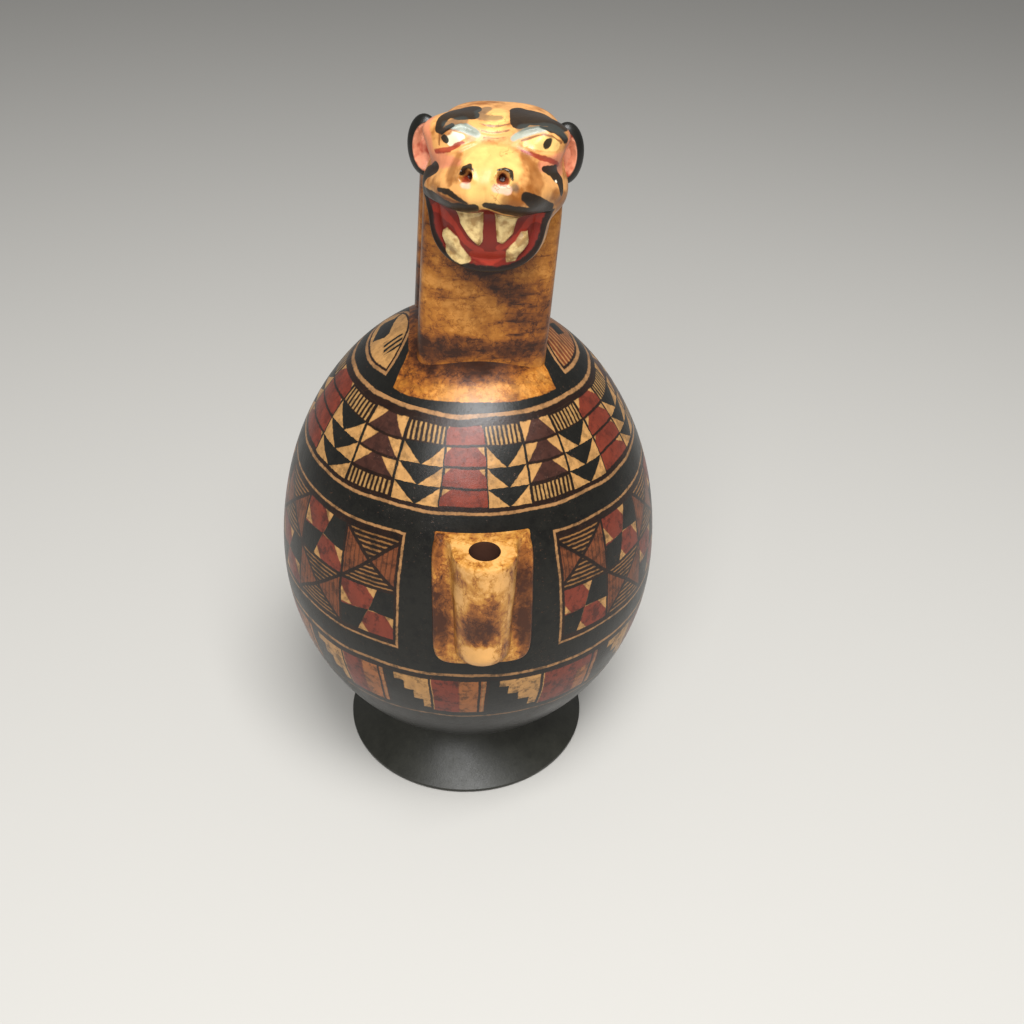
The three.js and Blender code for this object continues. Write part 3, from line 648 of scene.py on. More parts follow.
def slip_finish(material, colour, mm, gloss=0.34, worn="#6a4020", wear=0.35, tone=0.5, stain=0.0):
    """Burnished slip: mottled tone, dark wash of age, fine wear down to the clay, and a rubbed surface."""
    # Slip is a fine clay, rubbed shut: a soft sheen like wax, IOR 1.45, with pebble marks 0.1 mm deep.
    tree = material.node_tree
    shader = tree.nodes["Principled BSDF"]
    brushed = node(tree, "ShaderNodeMapping", {"Vector": mm, "Scale": (0.55, 0.55, 0.12)}).outputs[0]
    p = {"gloss": gloss, "wear": wear, "tone": tone, "stain": stain}
    for name, at, size, detail, roughness in (
            ("cloud", mm, 9, 5.0, 0.62), ("streak", brushed, 1, 3.0, 0.5), ("speck", mm, 0.8, 3.0, 0.7),
            ("soaked", mm, 3.6, 6.0, 0.72)):
        p[name] = node(tree, "ShaderNodeTexNoise", {"Vector": at, "Scale": 1 / size, "Detail": detail,
                                                    "Roughness": roughness}).outputs[0]
    measure(tree, p, light="(1 + (cloud - 0.5) * 2 * tone + (streak - 0.5) * 1.2 * tone) * "
                           "(1 - edge((soaked - 0.54 + (cloud - 0.5) * 0.3) * 2) * stain)",
            bare="edge((speck - 0.69 + (cloud - 0.5) * 0.35) * 4) * wear",
            rough="gloss + (cloud - 0.5) * 0.22 + bare * 0.25 + (speck - 0.5) * 0.12",
            height="streak * 0.35 + speck * 0.4 - bare * 0.8")
    toned = node(tree, "ShaderNodeMix", {0: 1.0, 6: linear(colour), 7: p["light"]},
                 data_type="RGBA", blend_type="MULTIPLY").outputs[2]
    rubbed = node(tree, "ShaderNodeBump", {"Height": p["height"], "Strength": 1.0, "Distance": 0.10 * MM})
    for socket, link in (("Base Color", coats(tree, p, toned, (worn, "bare"))), ("Roughness", p["rough"]),
                         ("Normal", rubbed.outputs[0])):
        tree.links.new(link, shader.inputs[socket])
    shader.inputs["IOR"].default_value = 1.45
    shader.inputs["Specular IOR Level"].default_value = 0.42


BLACK, OCHRE, LINE_OCHRE, RED = "#12110d", "#a67b48", "#926a42", "#6b2a1a"
PURPLE, BROWN, RUST = "#3a2018", "#1d0d05", "#68371c"

# %% [markdown]
# The stirrup and the lug have an orange slip under a brown wash. The wash was wiped off with a rag while
# wet, so it stays in broad clouds and in smears across the strap. It is amber in the middle of a form.
# Painted shade makes it nearly black in the creases at the foot of the strap, under the chin and in the
# lug's hollow flanks, and painted highlights make it paler on the lug and along the stripe below the strap.

# %% Orange slip with a brown wash
NECK_COLOURS = ("#be8038", "#a26622", "#824a16", "#562c0e", "#2e1406")
LUG_COLOURS = ("#cf9a58", "#b07a34", "#875020", "#5c3214", "#3a1c0c")
# Spots where the wash is darker or paler: x, z, half width and half height in mm, and the share darker. Some
# are real stains and smears. The rest are painted shade in creases and under the chin, and painted
# highlights where the share is below zero.
# Neck: painted shadow under the chin at 206 mm, painted shade where the strap meets the dome at 177 and 178
# mm, and real smudges at 196 and 197 mm.
NECK_STAINS_AND_SHADE = ((2, 206, 22, 7, 0.25), (8, 197, 9, 4, 0.3), (-15, 196, 8, 3, 0.25), (-10, 178, 14, 6, 0.45),
              (12, 177, 12, 6, 0.4))
# Lug: a real stain down the middle, painted shade in both hollow flanks, and painted highlights at the lower
# end, on the left and on the top.
LUG_STAIN_SHADE_AND_HIGHLIGHTS = ((-0.5, 111, 8, 12, 0.42), (13.5, 110, 5.5, 26, 0.34), (-14, 110, 5, 26, 0.28),
             (0, 97, 8, 6, -0.35), (-7.5, 118, 3, 9, -0.3), (0, 131, 12, 8, -0.3))
# Stripe: painted shade at the foot of the strap, and a painted highlight along the stripe's lower edge.
STRIPE_SHADE_AND_HIGHLIGHT = ((0, 175, 27, 7, 0.6), (-3, 166.5, 24, 3.0, -0.3))


def washed_orange(tree, place_values, colours, smear_scale, spots):
    """Pale to dark by clouds and smears of noise, and by spots of real stain, painted shade and painted
    highlight:
    share * max(0, 1 - (x / half width)^2 - (z / half height)^2)."""
    p = dict(place_values)
    smeared = node(tree, "ShaderNodeMapping", {"Vector": p["mm"], "Scale": smear_scale}).outputs[0]
    for name, at, size, detail, roughness in (
            ("cloud", p["mm"], 16, 5.0, 0.6), ("smear", smeared, 1, 4.0, 0.66),
            ("fine", p["mm"], 1.9, 4.0, 0.7), ("tide", p["mm"], 6, 5.0, 0.6)):
        p[name] = node(tree, "ShaderNodeTexNoise", {"Vector": at, "Scale": 1 / size, "Detail": detail,
                                                    "Roughness": roughness}).outputs[0]
    measure(tree, p, wash="0.46 + (cloud - 0.5) * 1.4 + (smear - 0.5) * 0.4 + max(0, smear - 0.56) * 1.4 + "
                          "(fine - 0.5) * 0.6 + max(0, 0.02 - abs(tide - 0.5)) * 9")
    # The spots darken and pale the wash: real stains, painted shade in creases and under the chin, and
    # painted highlights.
    for at_x, at_z, half_x, half_z, share in spots:
        p.update(a=at_x, b=half_x ** -2, c=at_z, d=half_z ** -2, share=share)
        measure(tree, p, wash="wash + share * max(0, 1 - (x - a) * (x - a) * b - (z - c) * (z - c) * d)")
    ramp = node(tree, "ShaderNodeValToRGB", {0: p["wash"]})
    stops = ramp.color_ramp.elements
    while len(stops) < len(colours):
        stops.new(0.5)
    for stop, share, colour in zip(stops, np.linspace(0.2, 0.9, len(colours)), colours):
        stop.position, stop.color = float(share), linear(colour)
    return ramp.outputs[0]


def paint_washed(material, colours, smear_scale, spots):
    """The whole of a form in washed orange."""
    p = place(material.node_tree)
    slip_finish(material, washed_orange(material.node_tree, p, colours, smear_scale, spots), p["mm"],
                gloss=0.36, wear=0.25, tone=0.25)


paint_washed(FINISHES["orange_slip_stirrup"], NECK_COLOURS, (0.09, 0.09, 0.5), NECK_STAINS_AND_SHADE)
paint_washed(FINISHES["orange_slip_lug"], LUG_COLOURS, (0.25, 0.25, 0.08), LUG_STAIN_SHADE_AND_HIGHLIGHTS)
print("washed forms: stirrup and lug")

# %% [markdown]
# Shoulder register. Between two ochre lines, 22 panels go around, red, triangles, purple, triangles in
# turn, each four rows high. The red panels have ochre corners of uneven size. The triangle panels start
# with a comb of short strokes, and black triangles hang below it on ochre. The purple panels are the other
# way up and end in a comb. Painted in slip and rubbed, so all colours share one soft sheen.

# %% Shoulder register


def paint_shoulder(material):
    """Panels by azimuth u and rows by height v. In a cell, side is the distance in mm from its middle line
    and down the share of the way down, so a triangle is half * (1 - down) - side. The sines in u make some
    panels wider than others, as a painter does who spaces them by eye."""
    tree = material.node_tree
    p = place(tree)
    measure(tree, p, turn="az / degrees",
            u="(az + 13) / 16.3636 + 0.468 - 0.29 * sin(turn) - 0.372 * cos(turn) + 0.259 * sin(2 * turn)",
            panel="floor(u)", kind="panel % 4", half="8.18 * deg - 0.45",
            across="(fract(u) - 0.5) * 16.36 * deg", side="abs(across)", right="across > 0",
            v="(160.9 - z) / 5.25", row="floor(v)", down="fract(v)",
            purple="abs(kind - 2) < 0.5", triangles="max(abs(kind - 1) < 0.5, abs(kind - 3) < 0.5)",
            combed="max(triangles * (abs(row) < 0.5), purple * (abs(row - 3) < 0.5))")
    cell = node(tree, "ShaderNodeCombineXYZ", {0: p["panel"], 1: p["row"], 2: p["right"]}).outputs[0]
    p["chance"] = node(tree, "ShaderNodeTexWhiteNoise", {"Vector": cell}, noise_dimensions="3D").outputs[0]
    measure(tree, p, comb_end="min(down * 5.25 - 0.7, 4.9 - down * 5.25)",
            comb="min(0.34 - abs(fract(side / 1.5) - 0.5) * 1.5 + (chance - 0.5) * 0.1, half - side - 0.2)")
    colour = coats(
        tree, p, BLACK,
        (OCHRE, "edge(min(half - side, min(160.9 - z, z - 139.9)))"),
        (BLACK, "edge((half * (1.04 - down) - side) * 0.7) * triangles"),
        (PURPLE, "edge((half * (0.24 + 0.8 * down) - side) * 0.7) * purple"),
        (RED, "edge((half * (0.42 + 0.75 * chance + (1.1 - 0.55 * chance) * down) - side) * 0.7) * "
              "(kind < 0.5)"),
        # Dark lines below each row of the red and purple panels, then the combs.
        (BROWN, "edge(0.36 - min(down, 1 - down) * 5.25) * (1 - triangles)"),
        (BROWN, "combed"), ("#987444", "combed * edge(min(comb, comb_end))"),
        # Outside the rows: black bands, brown rules and the two ochre lines.
        (BLACK, "edge(max(z - 160.9, 139.7 - z))"),
        (BROWN, "edge(0.6 - abs(z - 161.5))"), (BROWN, "edge(0.5 - abs(z - 139.3))"),
        (LINE_OCHRE, "max(edge(0.5 - abs(z - 162.8)), edge(0.45 - abs(z - 138.2)))"))
    slip_finish(material, colour, p["mm"], stain=0.4)


paint_shoulder(FINISHES["painted_clay_shoulder"])
print("shoulder: nodes", len(FINISHES["painted_clay_shoulder"].node_tree.nodes))

# %% [markdown]
# Belly register. A black field in front holds the lug. Around the rest go 17 cells in two rows, like a
# chessboard: one kind is crossed by two diagonals, with hatching between them, and the other is quartered
# in red and black with ochre corners. The same rubbed slips, but handled more, so stains break up the
# colour.

# %% Belly register


def paint_belly(material):
    """Cells by azimuth u and height v. In a cell, across and down run from -1 to 1."""
    tree = material.node_tree
    p = place(tree)
    measure(tree, p, around="(az - 22) % 360", u="around / 18.5 + 0.2 * (1 - cos(az / degrees))",
            v="(128.4 - z) / 18.2", across="fract(u) * 2 - 1", down="fract(v) * 2 - 1",
            diagonal="abs(down) - abs(across)", leaning="across + 0.35 * down",
            right="edge(leaning * 9)", low="edge((down - 0.12 * abs(across) + 0.04) * 9)",
            quarter_x="leaning * 2 - ((leaning > 0) * 2 - 1)", quarter_y="down * 2 - ((down > 0) * 2 - 1)",
            rim="min(min(around, 314.5 - around) * deg, min(130.9 - z, z - 89.7))")
    # Crossed cell: hatching lies in the upper and lower triangle, upright strokes in the left and right one.
    hatched = coats(tree, p, BROWN, ("#80582f", "edge(0.27 - abs(fract(down * 9.1 / 1.5) - 0.5) * 1.5)"))
    crossed = coats(tree, p, RUST, (BROWN, "edge(0.2 - abs(fract(across * 10 / 1.6) - 0.5) * 1.6) * 0.55"),
                    (hatched, "edge(diagonal * 6)"), (BROWN, "edge(0.55 - abs(diagonal) * 6.4)"))
    # Quartered cell: the parting leans, and each quarter has its own middle.
    cells = coats(
        tree, p, RED,
        (OCHRE, "edge((abs(quarter_x - quarter_y) - 1.12) * 3.2)"), (BLACK, "abs(right - low)"),
        (crossed, "abs((floor(u) + floor(v)) % 2) < 0.5"),
        (BROWN, "max(edge(0.5 - (1 - abs(across)) * 9.2 * deg), "
                "edge(0.55 - min(abs(v), min(abs(v - 1), abs(v - 2))) * 18.2))"))
    colour = coats(tree, p, BROWN, (cells, "edge(min(rim - 1.9, min(128.5 - z, z - 92)))"),
                   (LINE_OCHRE, "edge(0.4 - abs(rim - 0.5))"), (BLACK, "edge(-rim)"))
    slip_finish(material, colour, p["mm"], stain=0.6)


paint_belly(FINISHES["painted_clay_belly"])
print("belly: nodes", len(FINISHES["painted_clay_belly"].node_tree.nodes))

# %% [markdown]
# Bowl register. Eleven pairs of panels go around: a black one with ochre stairs, and a red one that pales
# to ochre on its right. Dark rules part them, and a thin ochre line starts each pair. These rubbed slips
# are the most stained, so they look darkest.

# %% Bowl register


def paint_bowl(material):
    """Pairs by azimuth u, share across. Stairs: ochre where the share passes 0.26 + 0.2 * the step."""
    tree = material.node_tree
    p = place(tree)
    measure(tree, p, u="az / 32.727 - 0.128 + 0.09 * cos(az * 3 / degrees)", share="fract(u)",
            pair="floor(u)", down="(78 - z) / 18",
            rules="min(abs(share - 0.48), min(abs(share - 0.945), abs(share - 0.02)))")
    p["chance"] = node(tree, "ShaderNodeTexWhiteNoise", {"W": p["pair"]}, noise_dimensions="1D").outputs[0]
    paled = coats(tree, p, RED, ("#8a5228", "edge((share - 0.74 - 0.12 * chance) * 18 * deg) * "
                                            "edge((down - 0.75 * chance + 0.15) * 6)"))
    pairs = coats(
        tree, p, BLACK,
        (OCHRE, "edge((share / 0.46 - 0.26 - 0.2 * floor(4 * down + 0.3)) * 14 * deg)"),
        (paled, "share > 0.5"), (BROWN, "edge(0.45 - rules * 32.7 * deg)"),
        (LINE_OCHRE, "edge(0.35 - abs(share - 0.982) * 32.7 * deg) * 0.7"))
    colour = coats(tree, p, BLACK, (pairs, "edge(min(78 - z, z - 60))"), (BROWN, "edge(0.7 - abs(z - 79))"),
                   (LINE_OCHRE, "max(edge(0.6 - abs(z - 81)), edge(0.35 - abs(z - 57)) * 0.6)"))
    slip_finish(material, colour, p["mm"], stain=0.7)


paint_bowl(FINISHES["painted_clay_bowl"])
print("bowl: nodes", len(FINISHES["painted_clay_bowl"].node_tree.nodes))

# %% [markdown]
# The dome's top is seen from above: a black ring band, a stripe of orange slip across the middle that
# carries the stirrup, and a lens at each side with a bird-like figure on ochre and a hatched field.

# %% Top of the dome


def paint_dome(material):
    """Circles and strokes by x and y in mm, as seen from above."""
    tree = material.node_tree
    p = place(tree)
    measure(tree, p, lens="min(35.0 - r, 26.3 - sqrt((abs(x) - 45.6) * (abs(x) - 45.6) + y * y))",
            hatch="edge(0.5 - abs(fract((x + y) / 2.6) - 0.5) * 2.6)",
            bird="min(3 - abs(x + 28.5 - (y - 4) * 0.25), 6.6 - abs(y - 4) - abs(x + 28.5) * 0.6)",
            tail="min(0.8 - abs(y - 8 - (x + 26) * 0.8), 3.6 - abs(x + 26))",
            toe="0.55 - abs(fract((y - x * 0.3) / 2.2) - 0.5) * 2.2",
            toes="min(toe, min(3.0 - abs(x + 25.5), 3 - abs(y + 8.4)))",
            stripe="min(19.5 + max(0, -y - 15) * 0.55 - abs(x + 1), 36.3 - r)")
    field = coats(tree, p, "#6b3418", (OCHRE, "hatch * 0.7"), (OCHRE, "x < 0"))
    # The orange stripe flares in front to the corners and ends in an arc.
    # Its spots add painted shade at the foot of the strap and a painted highlight along the stripe's lower
    # edge.
    orange = washed_orange(tree, p, NECK_COLOURS, (0.08, 0.08, 0.3), STRIPE_SHADE_AND_HIGHLIGHT)
    colour = coats(
        tree, p, BLACK,
        (LINE_OCHRE, "edge(lens)"), (BROWN, "edge(lens - 0.9)"), (field, "edge(lens - 1.6)"),
        (BLACK, "edge(max(bird, max(tail, toes)))"),
        (BLACK, "edge(3.4 - abs(x - 28) * 1.2 - abs(y - 2) * 0.7)"), (orange, "edge(stripe)"))
    slip_finish(material, colour, p["mm"], stain=0.3)


paint_dome(FINISHES["painted_clay_dome"])
print("dome: nodes", len(FINISHES["painted_clay_dome"].node_tree.nodes))

# %% [markdown]
# Plain slips: the black of the bands and the lower body, rubbed to a sheen, the charcoal of the foot, which
# was rubbed less and has gone grey, and the bare clay of the hollow, which is dull and rough.

# %% Plain slips


def paint_plain(material, colour, **finish):
    """One slip colour with the burnished finish."""
    slip_finish(material, colour, place(material.node_tree)["mm"], **finish)


paint_plain(FINISHES["burnished_black_slip"], BLACK)
paint_plain(FINISHES["charcoal_slip_foot"], "#272721", gloss=0.42, wear=0.2, worn="#3a352c")
paint_plain(FINISHES["bare_fired_clay"], "#3c2012", gloss=0.8, wear=0.0, tone=0.2)
print("plain finishes: 3")

# %% [markdown]
# The head's paint lies on the same map as its relief. For each colour, every point of the mesh keeps the
# distance in mm to the edge of that colour's strokes. The shader only has to ask where it is above zero,
# so an edge stays sharp between the points. A painter lays the pale grounds first and the black last.

# %% Strokes of the face, by colour
# Each coat: its colour, the share it covers, the softness of its edge, and its strokes on the face's map.
FACE_COATS = {
    # The yellow coat is partly the cream paint of the muzzle and forehead and partly a painted highlight on
    # them.
    "yellow": ("#dfae64", 0.8, 7.0, (((0.2, 12, 7.2), (-0.4, 7, 5)), ((0, 32, 3.6), (0, 26, 3.4)))),
    "pink": ("#cc7a5e", 0.75, 4.0, (
        ((-17.5, 12.4, 2.4), (-11.5, 12.8, 1.6), (-8.5, 12.4, 0.8)), ((22, 14, 2.4), (14, 12.6, 1.4)),
        ((-20, 11, 2.6), (-21, 16, 3.6), (-22, 21, 3.4)), ((23, 12, 2.6), (23.5, 17, 3.0), (24, 21, 2.6)))),
    # The brown coat on the sides and lower edge of the muzzle and on the right cheek is partly mottled paint
    # and partly painted shade.
    "brown": ("#7a4516", 0.7, 5.0, (
        ((8.8, 15.5, 1.2), (11.4, 12, 2.2), (11.8, 8.4, 2.4), (9.6, 5.2, 1.6)),
        ((4, 4.8, 1.4), (7, 5, 1.4)), ((-9.6, 14.5, 1.2), (-10.0, 8.6, 1.5)),
        ((24, 1, 3.5), (19, 4.5, 2.0)), ((-14, 3.8, 1.0), (-7, 3.8, 1.0)))),
    "rule": ("#5a2c10", 0.75, 1.0, (
        ((-5.2, 24.6, 0.22), (-0.2, 24.9, 0.3), (5, 25.4, 0.22)), ((-4.2, 22.6, 0.2), (4.6, 23.2, 0.2)),
        ((-3.4, 20.9, 0.15), (3.6, 21.3, 0.15)),
        ((-15.4, 16.0, 0.2), (-14.8, 18.6, 0.35), (-11.8, 20.2, 0.35), (-9, 20.6, 0.2)),
        ((8, 19.6, 0.2), (13, 19.8, 0.35), (18.4, 17.6, 0.3)),
        ((-13.8, 3.9, 0.25), (-9, 3.6, 0.45), (-5, 2.9, 0.25)))),
    "blue": ("#7d958f", 0.8, 2.0, (
        ((-11.6, 20.9, 0.8), (-8.4, 21.8, 1.5), (-5.4, 21.4, 1.1)),
        ((6.0, 20.6, 0.9), (9.4, 21.7, 1.3), (13.5, 21.3, 1.0)))),
    "ivory": ("#d2c8aa", 0.95, 1.0, (((-12.2, 17.4, 1.1), (-10.6, 18.4, 1.35), (-9.0, 19.2, 0.7)),)),
    "cream": ("#dcb56c", 0.9, 1.2, (((9.2, 18.4, 0.7), (13, 18.0, 1.6), (17.2, 16.8, 0.9)),)),
    "red": ("#8a2a1c", 0.9, 1.0, (
        ((-16.8, 14.4, 0.5), (-12.4, 15.6, 0.75), (-8.6, 18.0, 0.3)),
        ((8.3, 17.0, 0.3), (13.2, 14.8, 0.5), (20.5, 12.8, 0.5)),
        ((-5.3, 8.9, 1.35),), ((3.1, 8.9, 1.4),))),
    # The hollow coat paints the insides of the nostril pits near black: painted shade in the holes.
    "hollow": ("#2a0a0a", 0.95, 1.0, (((-5.3, 9.7, 0.85),), ((3.1, 9.7, 0.95),))),
    "pale": ("#dcb09a", 0.8, 1.6, (
        ((-5.9, 7.3, 0.6), (-4.7, 7.4, 0.7)), ((1.6, 7.2, 0.9), (4.2, 7.0, 1.0)))),
    "mouth": ("#701c10", 1.0, 1.0, ()),
    "gum": ("#9c2f1e", 0.9, 1.6, (
        ((-21.5, -4.4, 2.2), (-16.5, -4.6, 1.8), (-12, -6.0, 0.9), (-7.4, -10.8, 0.9), (-3, -13.0, 1.2)),
        ((19, -4.6, 2.2), (14, -5.0, 1.5), (8.8, -9.0, 0.9), (3, -11.8, 1.1)),
        ((-4.6, -15.0, 1.8), (0, -15.6, 2.4), (3.4, -14.8, 1.8)))),
    "tooth": ("#dcc084", 0.95, 1.0, ()),
    "outline": ("#16110c", 0.97, 1.0, ()),
    "black": ("#14120e", 0.97, 1.0, (
        # The first two black strokes are the lines of the upper lip, made wide enough to stand also for the
        # painted shadow under the lip.
        ((-26.4, 0.4, 2.0), (-21, 1.8, 2.1), (-14.6, 1.9, 1.9), (-9.0, 1.4, 1.7), (-3.2, 2.4, 1.1)),
        ((-0.6, 3.4, 0.7), (3, 2.7, 1.2), (7, 1.8, 1.6), (12, 0.6, 1.9), (18, -0.6, 1.9)),
        ((-13.8, 5.1, 0.5), (-9.4, 5.3, 0.8), (-4.8, 3.5, 0.3)),
        ((8.4, 5.4, 1.2), (11.4, 3.6, 1.9), (17.5, 0.2, 2.2)),
        ((-15.4, 19.4, 1.0), (-15.4, 24, 1.9), (-13.6, 28, 3.8), (-10.6, 31.5, 4.0)),
        ((-12.0, 25.6, 2.2), (-8.4, 27.6, 2.4)), ((-14.4, 18.9, 0.6), (-12.2, 21.2, 0.8)),
        ((8.4, 33, 3.8), (8.2, 26.4, 3.6)), ((11, 29.2, 5.6), (16, 27.4, 5.4), (19.6, 22.6, 2.4)),
        ((13, 21.9, 0.7), (16.8, 20.6, 1.0), (19.8, 18, 0.8)),
        ((-27.4, 2.6, 2.0), (-24, 7.6, 2.4), (-18.4, 10.4, 1.8)),
        ((15, 12.0, 0.8), (19, 11.2, 1.7), (22.4, 8.2, 1.8), (22.2, 4.8, 1.4)),
        ((-6.9, 9.6, 0.2), (-6.3, 11.0, 0.5), (-4.9, 11.6, 0.6), (-3.8, 10.6, 0.25)),
        ((1.8, 11.0, 0.2), (3.4, 11.4, 0.3), (4.9, 10.8, 0.45), (5.1, 9.0, 0.3)),
        ((-13.5, 17.6, 0.9),), ((14.6, 17.7, 1.15),))),
    "grey": ("#343a38", 0.6, 3.0, (
        ((-5.9, 27.6, 1.6), (1.2, 28.4, 1.2)), ((-6.5, 30, 2.2), (-5, 34, 2.2)), ((5.8, 7.4, 1.0),),
        ((-14, 21.2, 1.0), (-10, 24, 1.6)), ((8, 23.0, 1.4), (16, 22.0, 1.4), (19.5, 19, 0.9)))),
    "white": ("#e8e0c8", 0.9, 1.0, (((20.4, 8.2, 0.5),),)),
}


def face_depths(local):
    """Depth in mm inside each coat's strokes, for points in the head's own frame."""
    ways = local - HEAD_MIDDLE
    m = face_map(ways / np.linalg.norm(ways, axis=-1, keepdims=True))
    inside = mouth_depth(m)
    depths = {name: np.max([stroke(m, *s) for s in strokes], axis=0)
              for name, (_, _, _, strokes) in FACE_COATS.items() if strokes}
    depths["gum"] = np.minimum(depths["gum"], inside)
    depths["mouth"] = inside + 0.3
    depths["outline"] = np.minimum(0.8 - np.abs(inside + 0.3), -m[..., 1] - 0.5)
    depths["tooth"] = np.minimum(np.max([wedge(m, t) for t in TEETH], axis=0) + 0.3, inside)
    return depths


def ear_depth(local):
    """Depth inside the ears' cups in mm: 4 * (0.78 - the radius across the cup), in the ear's front half."""
    best = np.full(len(local), FAR_OUTSIDE)
    for side in (-1, 1):
        q = turned_about_z(local - ear_middle(side), -side * math.radians(EAR_TURN))
        circle = np.hypot(q[:, 0] / EAR_HALF[0] + side * CUP_OFFSET, q[:, 2] / EAR_HALF[2])
        best = np.maximum(best, np.minimum((0.78 - circle) * 4.0, 1.0 - q[:, 1]))
    return best


points = np.empty(len(skin.vertices) * 3, np.float32)
skin.vertices.foreach_get("co", points)
skin_local = head_local(points.reshape(-1, 3) / MM)
depths = {"face_" + name: depth for name, depth in face_depths(skin_local).items()}
depths["ear_cup"] = ear_depth(skin_local)
for name, depth in depths.items():
    skin.attributes.new(name, "FLOAT", "POINT").data.foreach_set("value", depth.astype(np.float32))
print("depths kept:", ", ".join(depths))

# %% [markdown]
# The head's slips are thin and rubbed like the rest, so the tan ground shows at the edges of a stroke. Each
# stored depth is read back, made a little ragged by fine noise, and covered with its colour.

# %% Head and ears


def paint_face(material):
    """Tan ground with each colour's strokes over it, in the order in which a painter lays them."""
    tree = material.node_tree
    p = place(tree)
    for name, size, detail in (
            ("ragged", 1.6, 2.0), ("patch", 7, 4.0), ("fine", 2.4, 4.0), ("tide", 4.5, 5.0)):
        p[name] = node(tree, "ShaderNodeTexNoise",
                       {"Vector": p["mm"], "Scale": 1 / size, "Detail": detail}).outputs[0]
    colour = coats(tree, p, "#cb9254", ("#8c5420", "edge((patch - 0.58 + (fine - 0.5) * 0.4) * 1.2)"))
    for name, (paint, cover, softness, _) in FACE_COATS.items():
        p.update(cover=cover, softness=softness, fray=0.07 * (softness - 1))
        p[name] = node(tree, "ShaderNodeAttribute", attribute_name="face_" + name).outputs["Fac"]
        if name == "tooth":
            paint = coats(tree, p, paint, ("#8a622e", "edge((fine - 0.53) * 1.3) * 0.75"))
        colour = coats(tree, p, colour, (paint, f"edge(({name} + (ragged - 0.5) * 0.6) / softness + "
                                                "(fine - 0.5) * fray) * cover"))
    # Fine brown veins, where thin wash dried in the brush marks of the muzzle.
    veins = "edge((0.010 - abs(tide - 0.5)) * 40) * edge(yellow / 3) * edge((x - 1) / 6) * 0.45"
    colour = coats(tree, p, colour, ("#6a3c14", veins))
    slip_finish(material, colour, p["mm"], gloss=0.36, wear=0.15, worn="#8a5a2c", tone=0.3)


def paint_ear(material):
    """Black over the whole ear, pink where the stored depth of the cup is above zero."""
    tree = material.node_tree
    p = place(tree)
    p["cup"] = node(tree, "ShaderNodeAttribute", attribute_name="ear_cup").outputs["Fac"]
    p["patch"] = node(tree, "ShaderNodeTexNoise", {"Vector": p["mm"], "Scale": 1 / 4}).outputs[0]
    inner = coats(tree, p, "#d08a6c", ("#9a3e2a", "edge((patch - 0.52) * 1.6)"))
    slip_finish(material, coats(tree, p, BLACK, (inner, "edge(cup)")), p["mm"], gloss=0.36, wear=0.2)


paint_face(FINISHES["painted_clay_head"])
paint_ear(FINISHES["painted_clay_ear"])
print("face: nodes", len(FINISHES["painted_clay_head"].node_tree.nodes))

# %% [markdown]
# Each register has its own finish, and all of them paint the black bands alike. The skin's faces are given
# their register by the height of their middle, cut in a black band where the change can't be seen.

# %% Finish of each face by its height
REGISTERS = (("charcoal_slip_foot", -1, 21), ("painted_clay_bowl", 54, 85.5),
             ("painted_clay_belly", 85.5, 134.5), ("painted_clay_shoulder", 134.5, 163.9),
             ("painted_clay_dome", 163.9, 200))
centres = np.empty(len(skin.polygons) * 3, np.float32)
skin.polygons.foreach_get("center", centres)
heights = centres.reshape(-1, 3)[:, 2] / MM
slots = np.empty(len(skin.polygons), np.int32)
skin.polygons.foreach_get("material_index", slots)
order = [m.name for m in skin.materials]
for name in FINISHES:
    if name not in order:
        skin.materials.append(FINISHES[name])
        order.append(name)
on_body = slots == order.index("burnished_black_slip")
for name, low, high in REGISTERS:
    slots[on_body & (heights > low) & (heights <= high)] = order.index(name)
skin.polygons.foreach_set("material_index", slots)
print("faces of each finish:", {name: int((slots == n).sum()) for n, name in enumerate(order)})

# %% [markdown]
# The faces are shaded smooth, with an edge kept sharp where they meet at more than 40 degrees, as at the
# pouring hole. Then the skin takes the solid's place: it replaces its node and rides on the same body.

# %% Smooth faces and the record's names
SHARP_FROM = math.radians(40)
skin.polygons.foreach_set("use_smooth", np.ones(len(skin.polygons), bool))
skin.set_sharp_from_angle(angle=SHARP_FROM)
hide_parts("vessel")
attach(body, "root")

# %% [markdown]
# A pale sheet of paper, a camera where the photographer stood, and two soft boxes as in a small studio. The
# camera's place was worked out from the foot's circle and the painted rings. A box above and in front gives
# the broad shine on the shoulder, and a second one lights the face. Grey light from all around fills in.

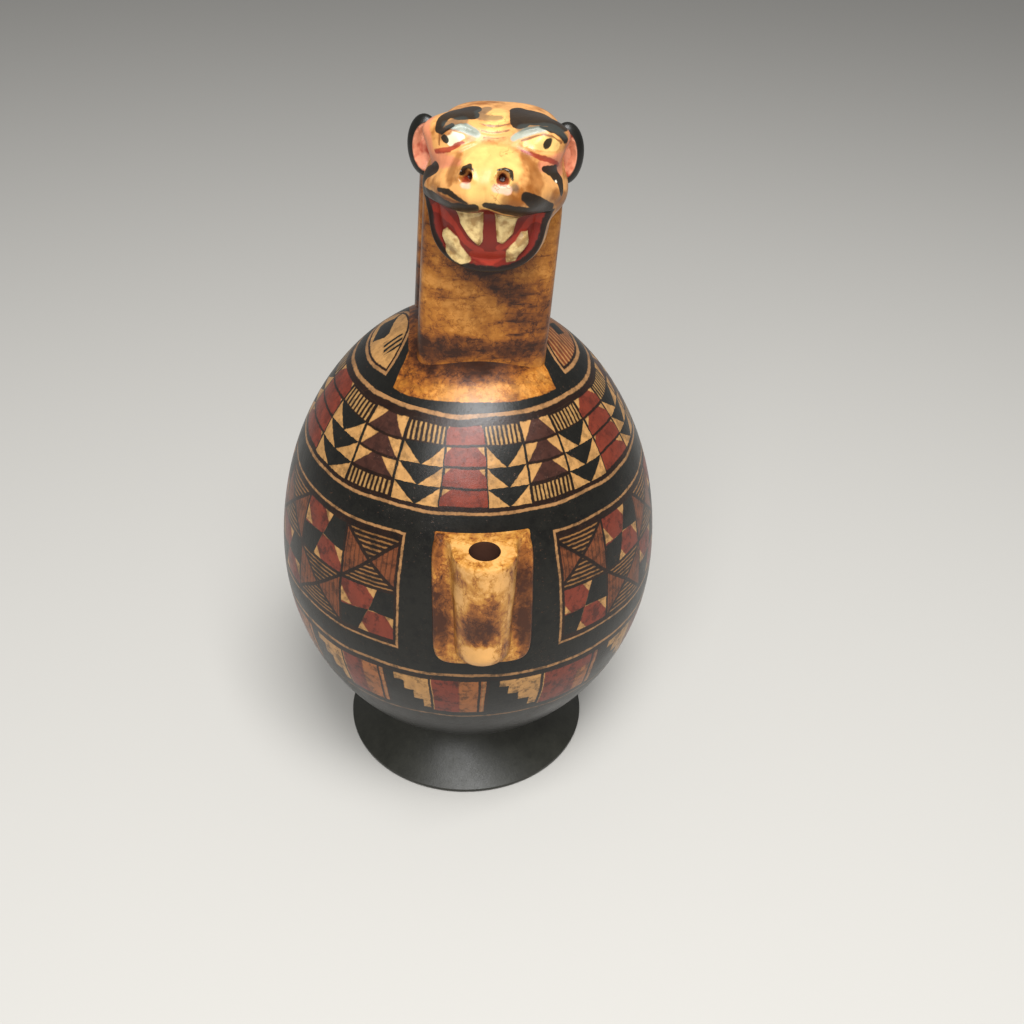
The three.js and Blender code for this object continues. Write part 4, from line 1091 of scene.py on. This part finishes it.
# %% Studio: floor, camera and lights
FLOOR_CORNERS = ((-3, -3, 0), (3, -3, 0), (3, 3, 0), (-3, 3, 0))
CAMERA_PLACE = Vector((-23.0767, -330.0116, 335.8741)) * MM
CAMERA_RIGHT, CAMERA_UP = Vector((0.99517, -0.09198, 0.03429)), Vector((0.02576, 0.58180, 0.81292))
floor_mesh = bpy.data.meshes.new("studio_floor")
floor_mesh.from_pydata(FLOOR_CORNERS, [], [(0, 1, 2, 3)])
floor = bpy.data.objects.new("studio_floor", floor_mesh)
bpy.context.scene.collection.objects.link(floor)
paper = bpy.data.materials.new("pale_matte_paper")
paper.use_nodes = True
paper_shader = paper.node_tree.nodes["Principled BSDF"]
paper_shader.inputs["Base Color"].default_value = linear("#b9b7b2")
paper_shader.inputs["Roughness"].default_value = 0.9
floor_mesh.materials.append(paper)

camera_data = bpy.data.cameras.new("camera")
camera_data.lens = 39.13
camera_data.sensor_width = 36.0
camera_data.sensor_fit = "HORIZONTAL"
camera = bpy.data.objects.new("camera", camera_data)
bpy.context.scene.collection.objects.link(camera)
camera_axes = Matrix((CAMERA_RIGHT, CAMERA_UP, CAMERA_RIGHT.cross(CAMERA_UP).normalized())).transposed()
camera.matrix_world = Matrix.Translation(CAMERA_PLACE) @ camera_axes.to_4x4()
bpy.context.scene.camera = camera


def softbox(name, place_m, aim_m, size, watts):
    """A square area lamp at a place, turned towards the point it lights."""
    data = bpy.data.lights.new(name, "AREA")
    data.shape, data.size, data.size_y, data.energy = "RECTANGLE", size, size, watts
    lamp = bpy.data.objects.new(name, data)
    lamp.location = place_m
    lamp.rotation_euler = (Vector(aim_m) - Vector(place_m)).to_track_quat("-Z", "Y").to_euler()
    bpy.context.scene.collection.objects.link(lamp)


softbox("key_light", (0.1, -0.45, 1.15), (0, 0, 0.12), 0.5, 15)
softbox("front_light", (-0.2, -0.85, 0.95), (0, 0, 0.12), 0.6, 11)

world = bpy.data.worlds.new("studio")
bpy.context.scene.world = world
world.use_nodes = True
sky = world.node_tree.nodes["Background"]
sky.inputs["Color"].default_value = (0.8, 0.8, 0.8, 1)
sky.inputs["Strength"].default_value = 0.35
bpy.context.scene.view_settings.view_transform = "Standard"
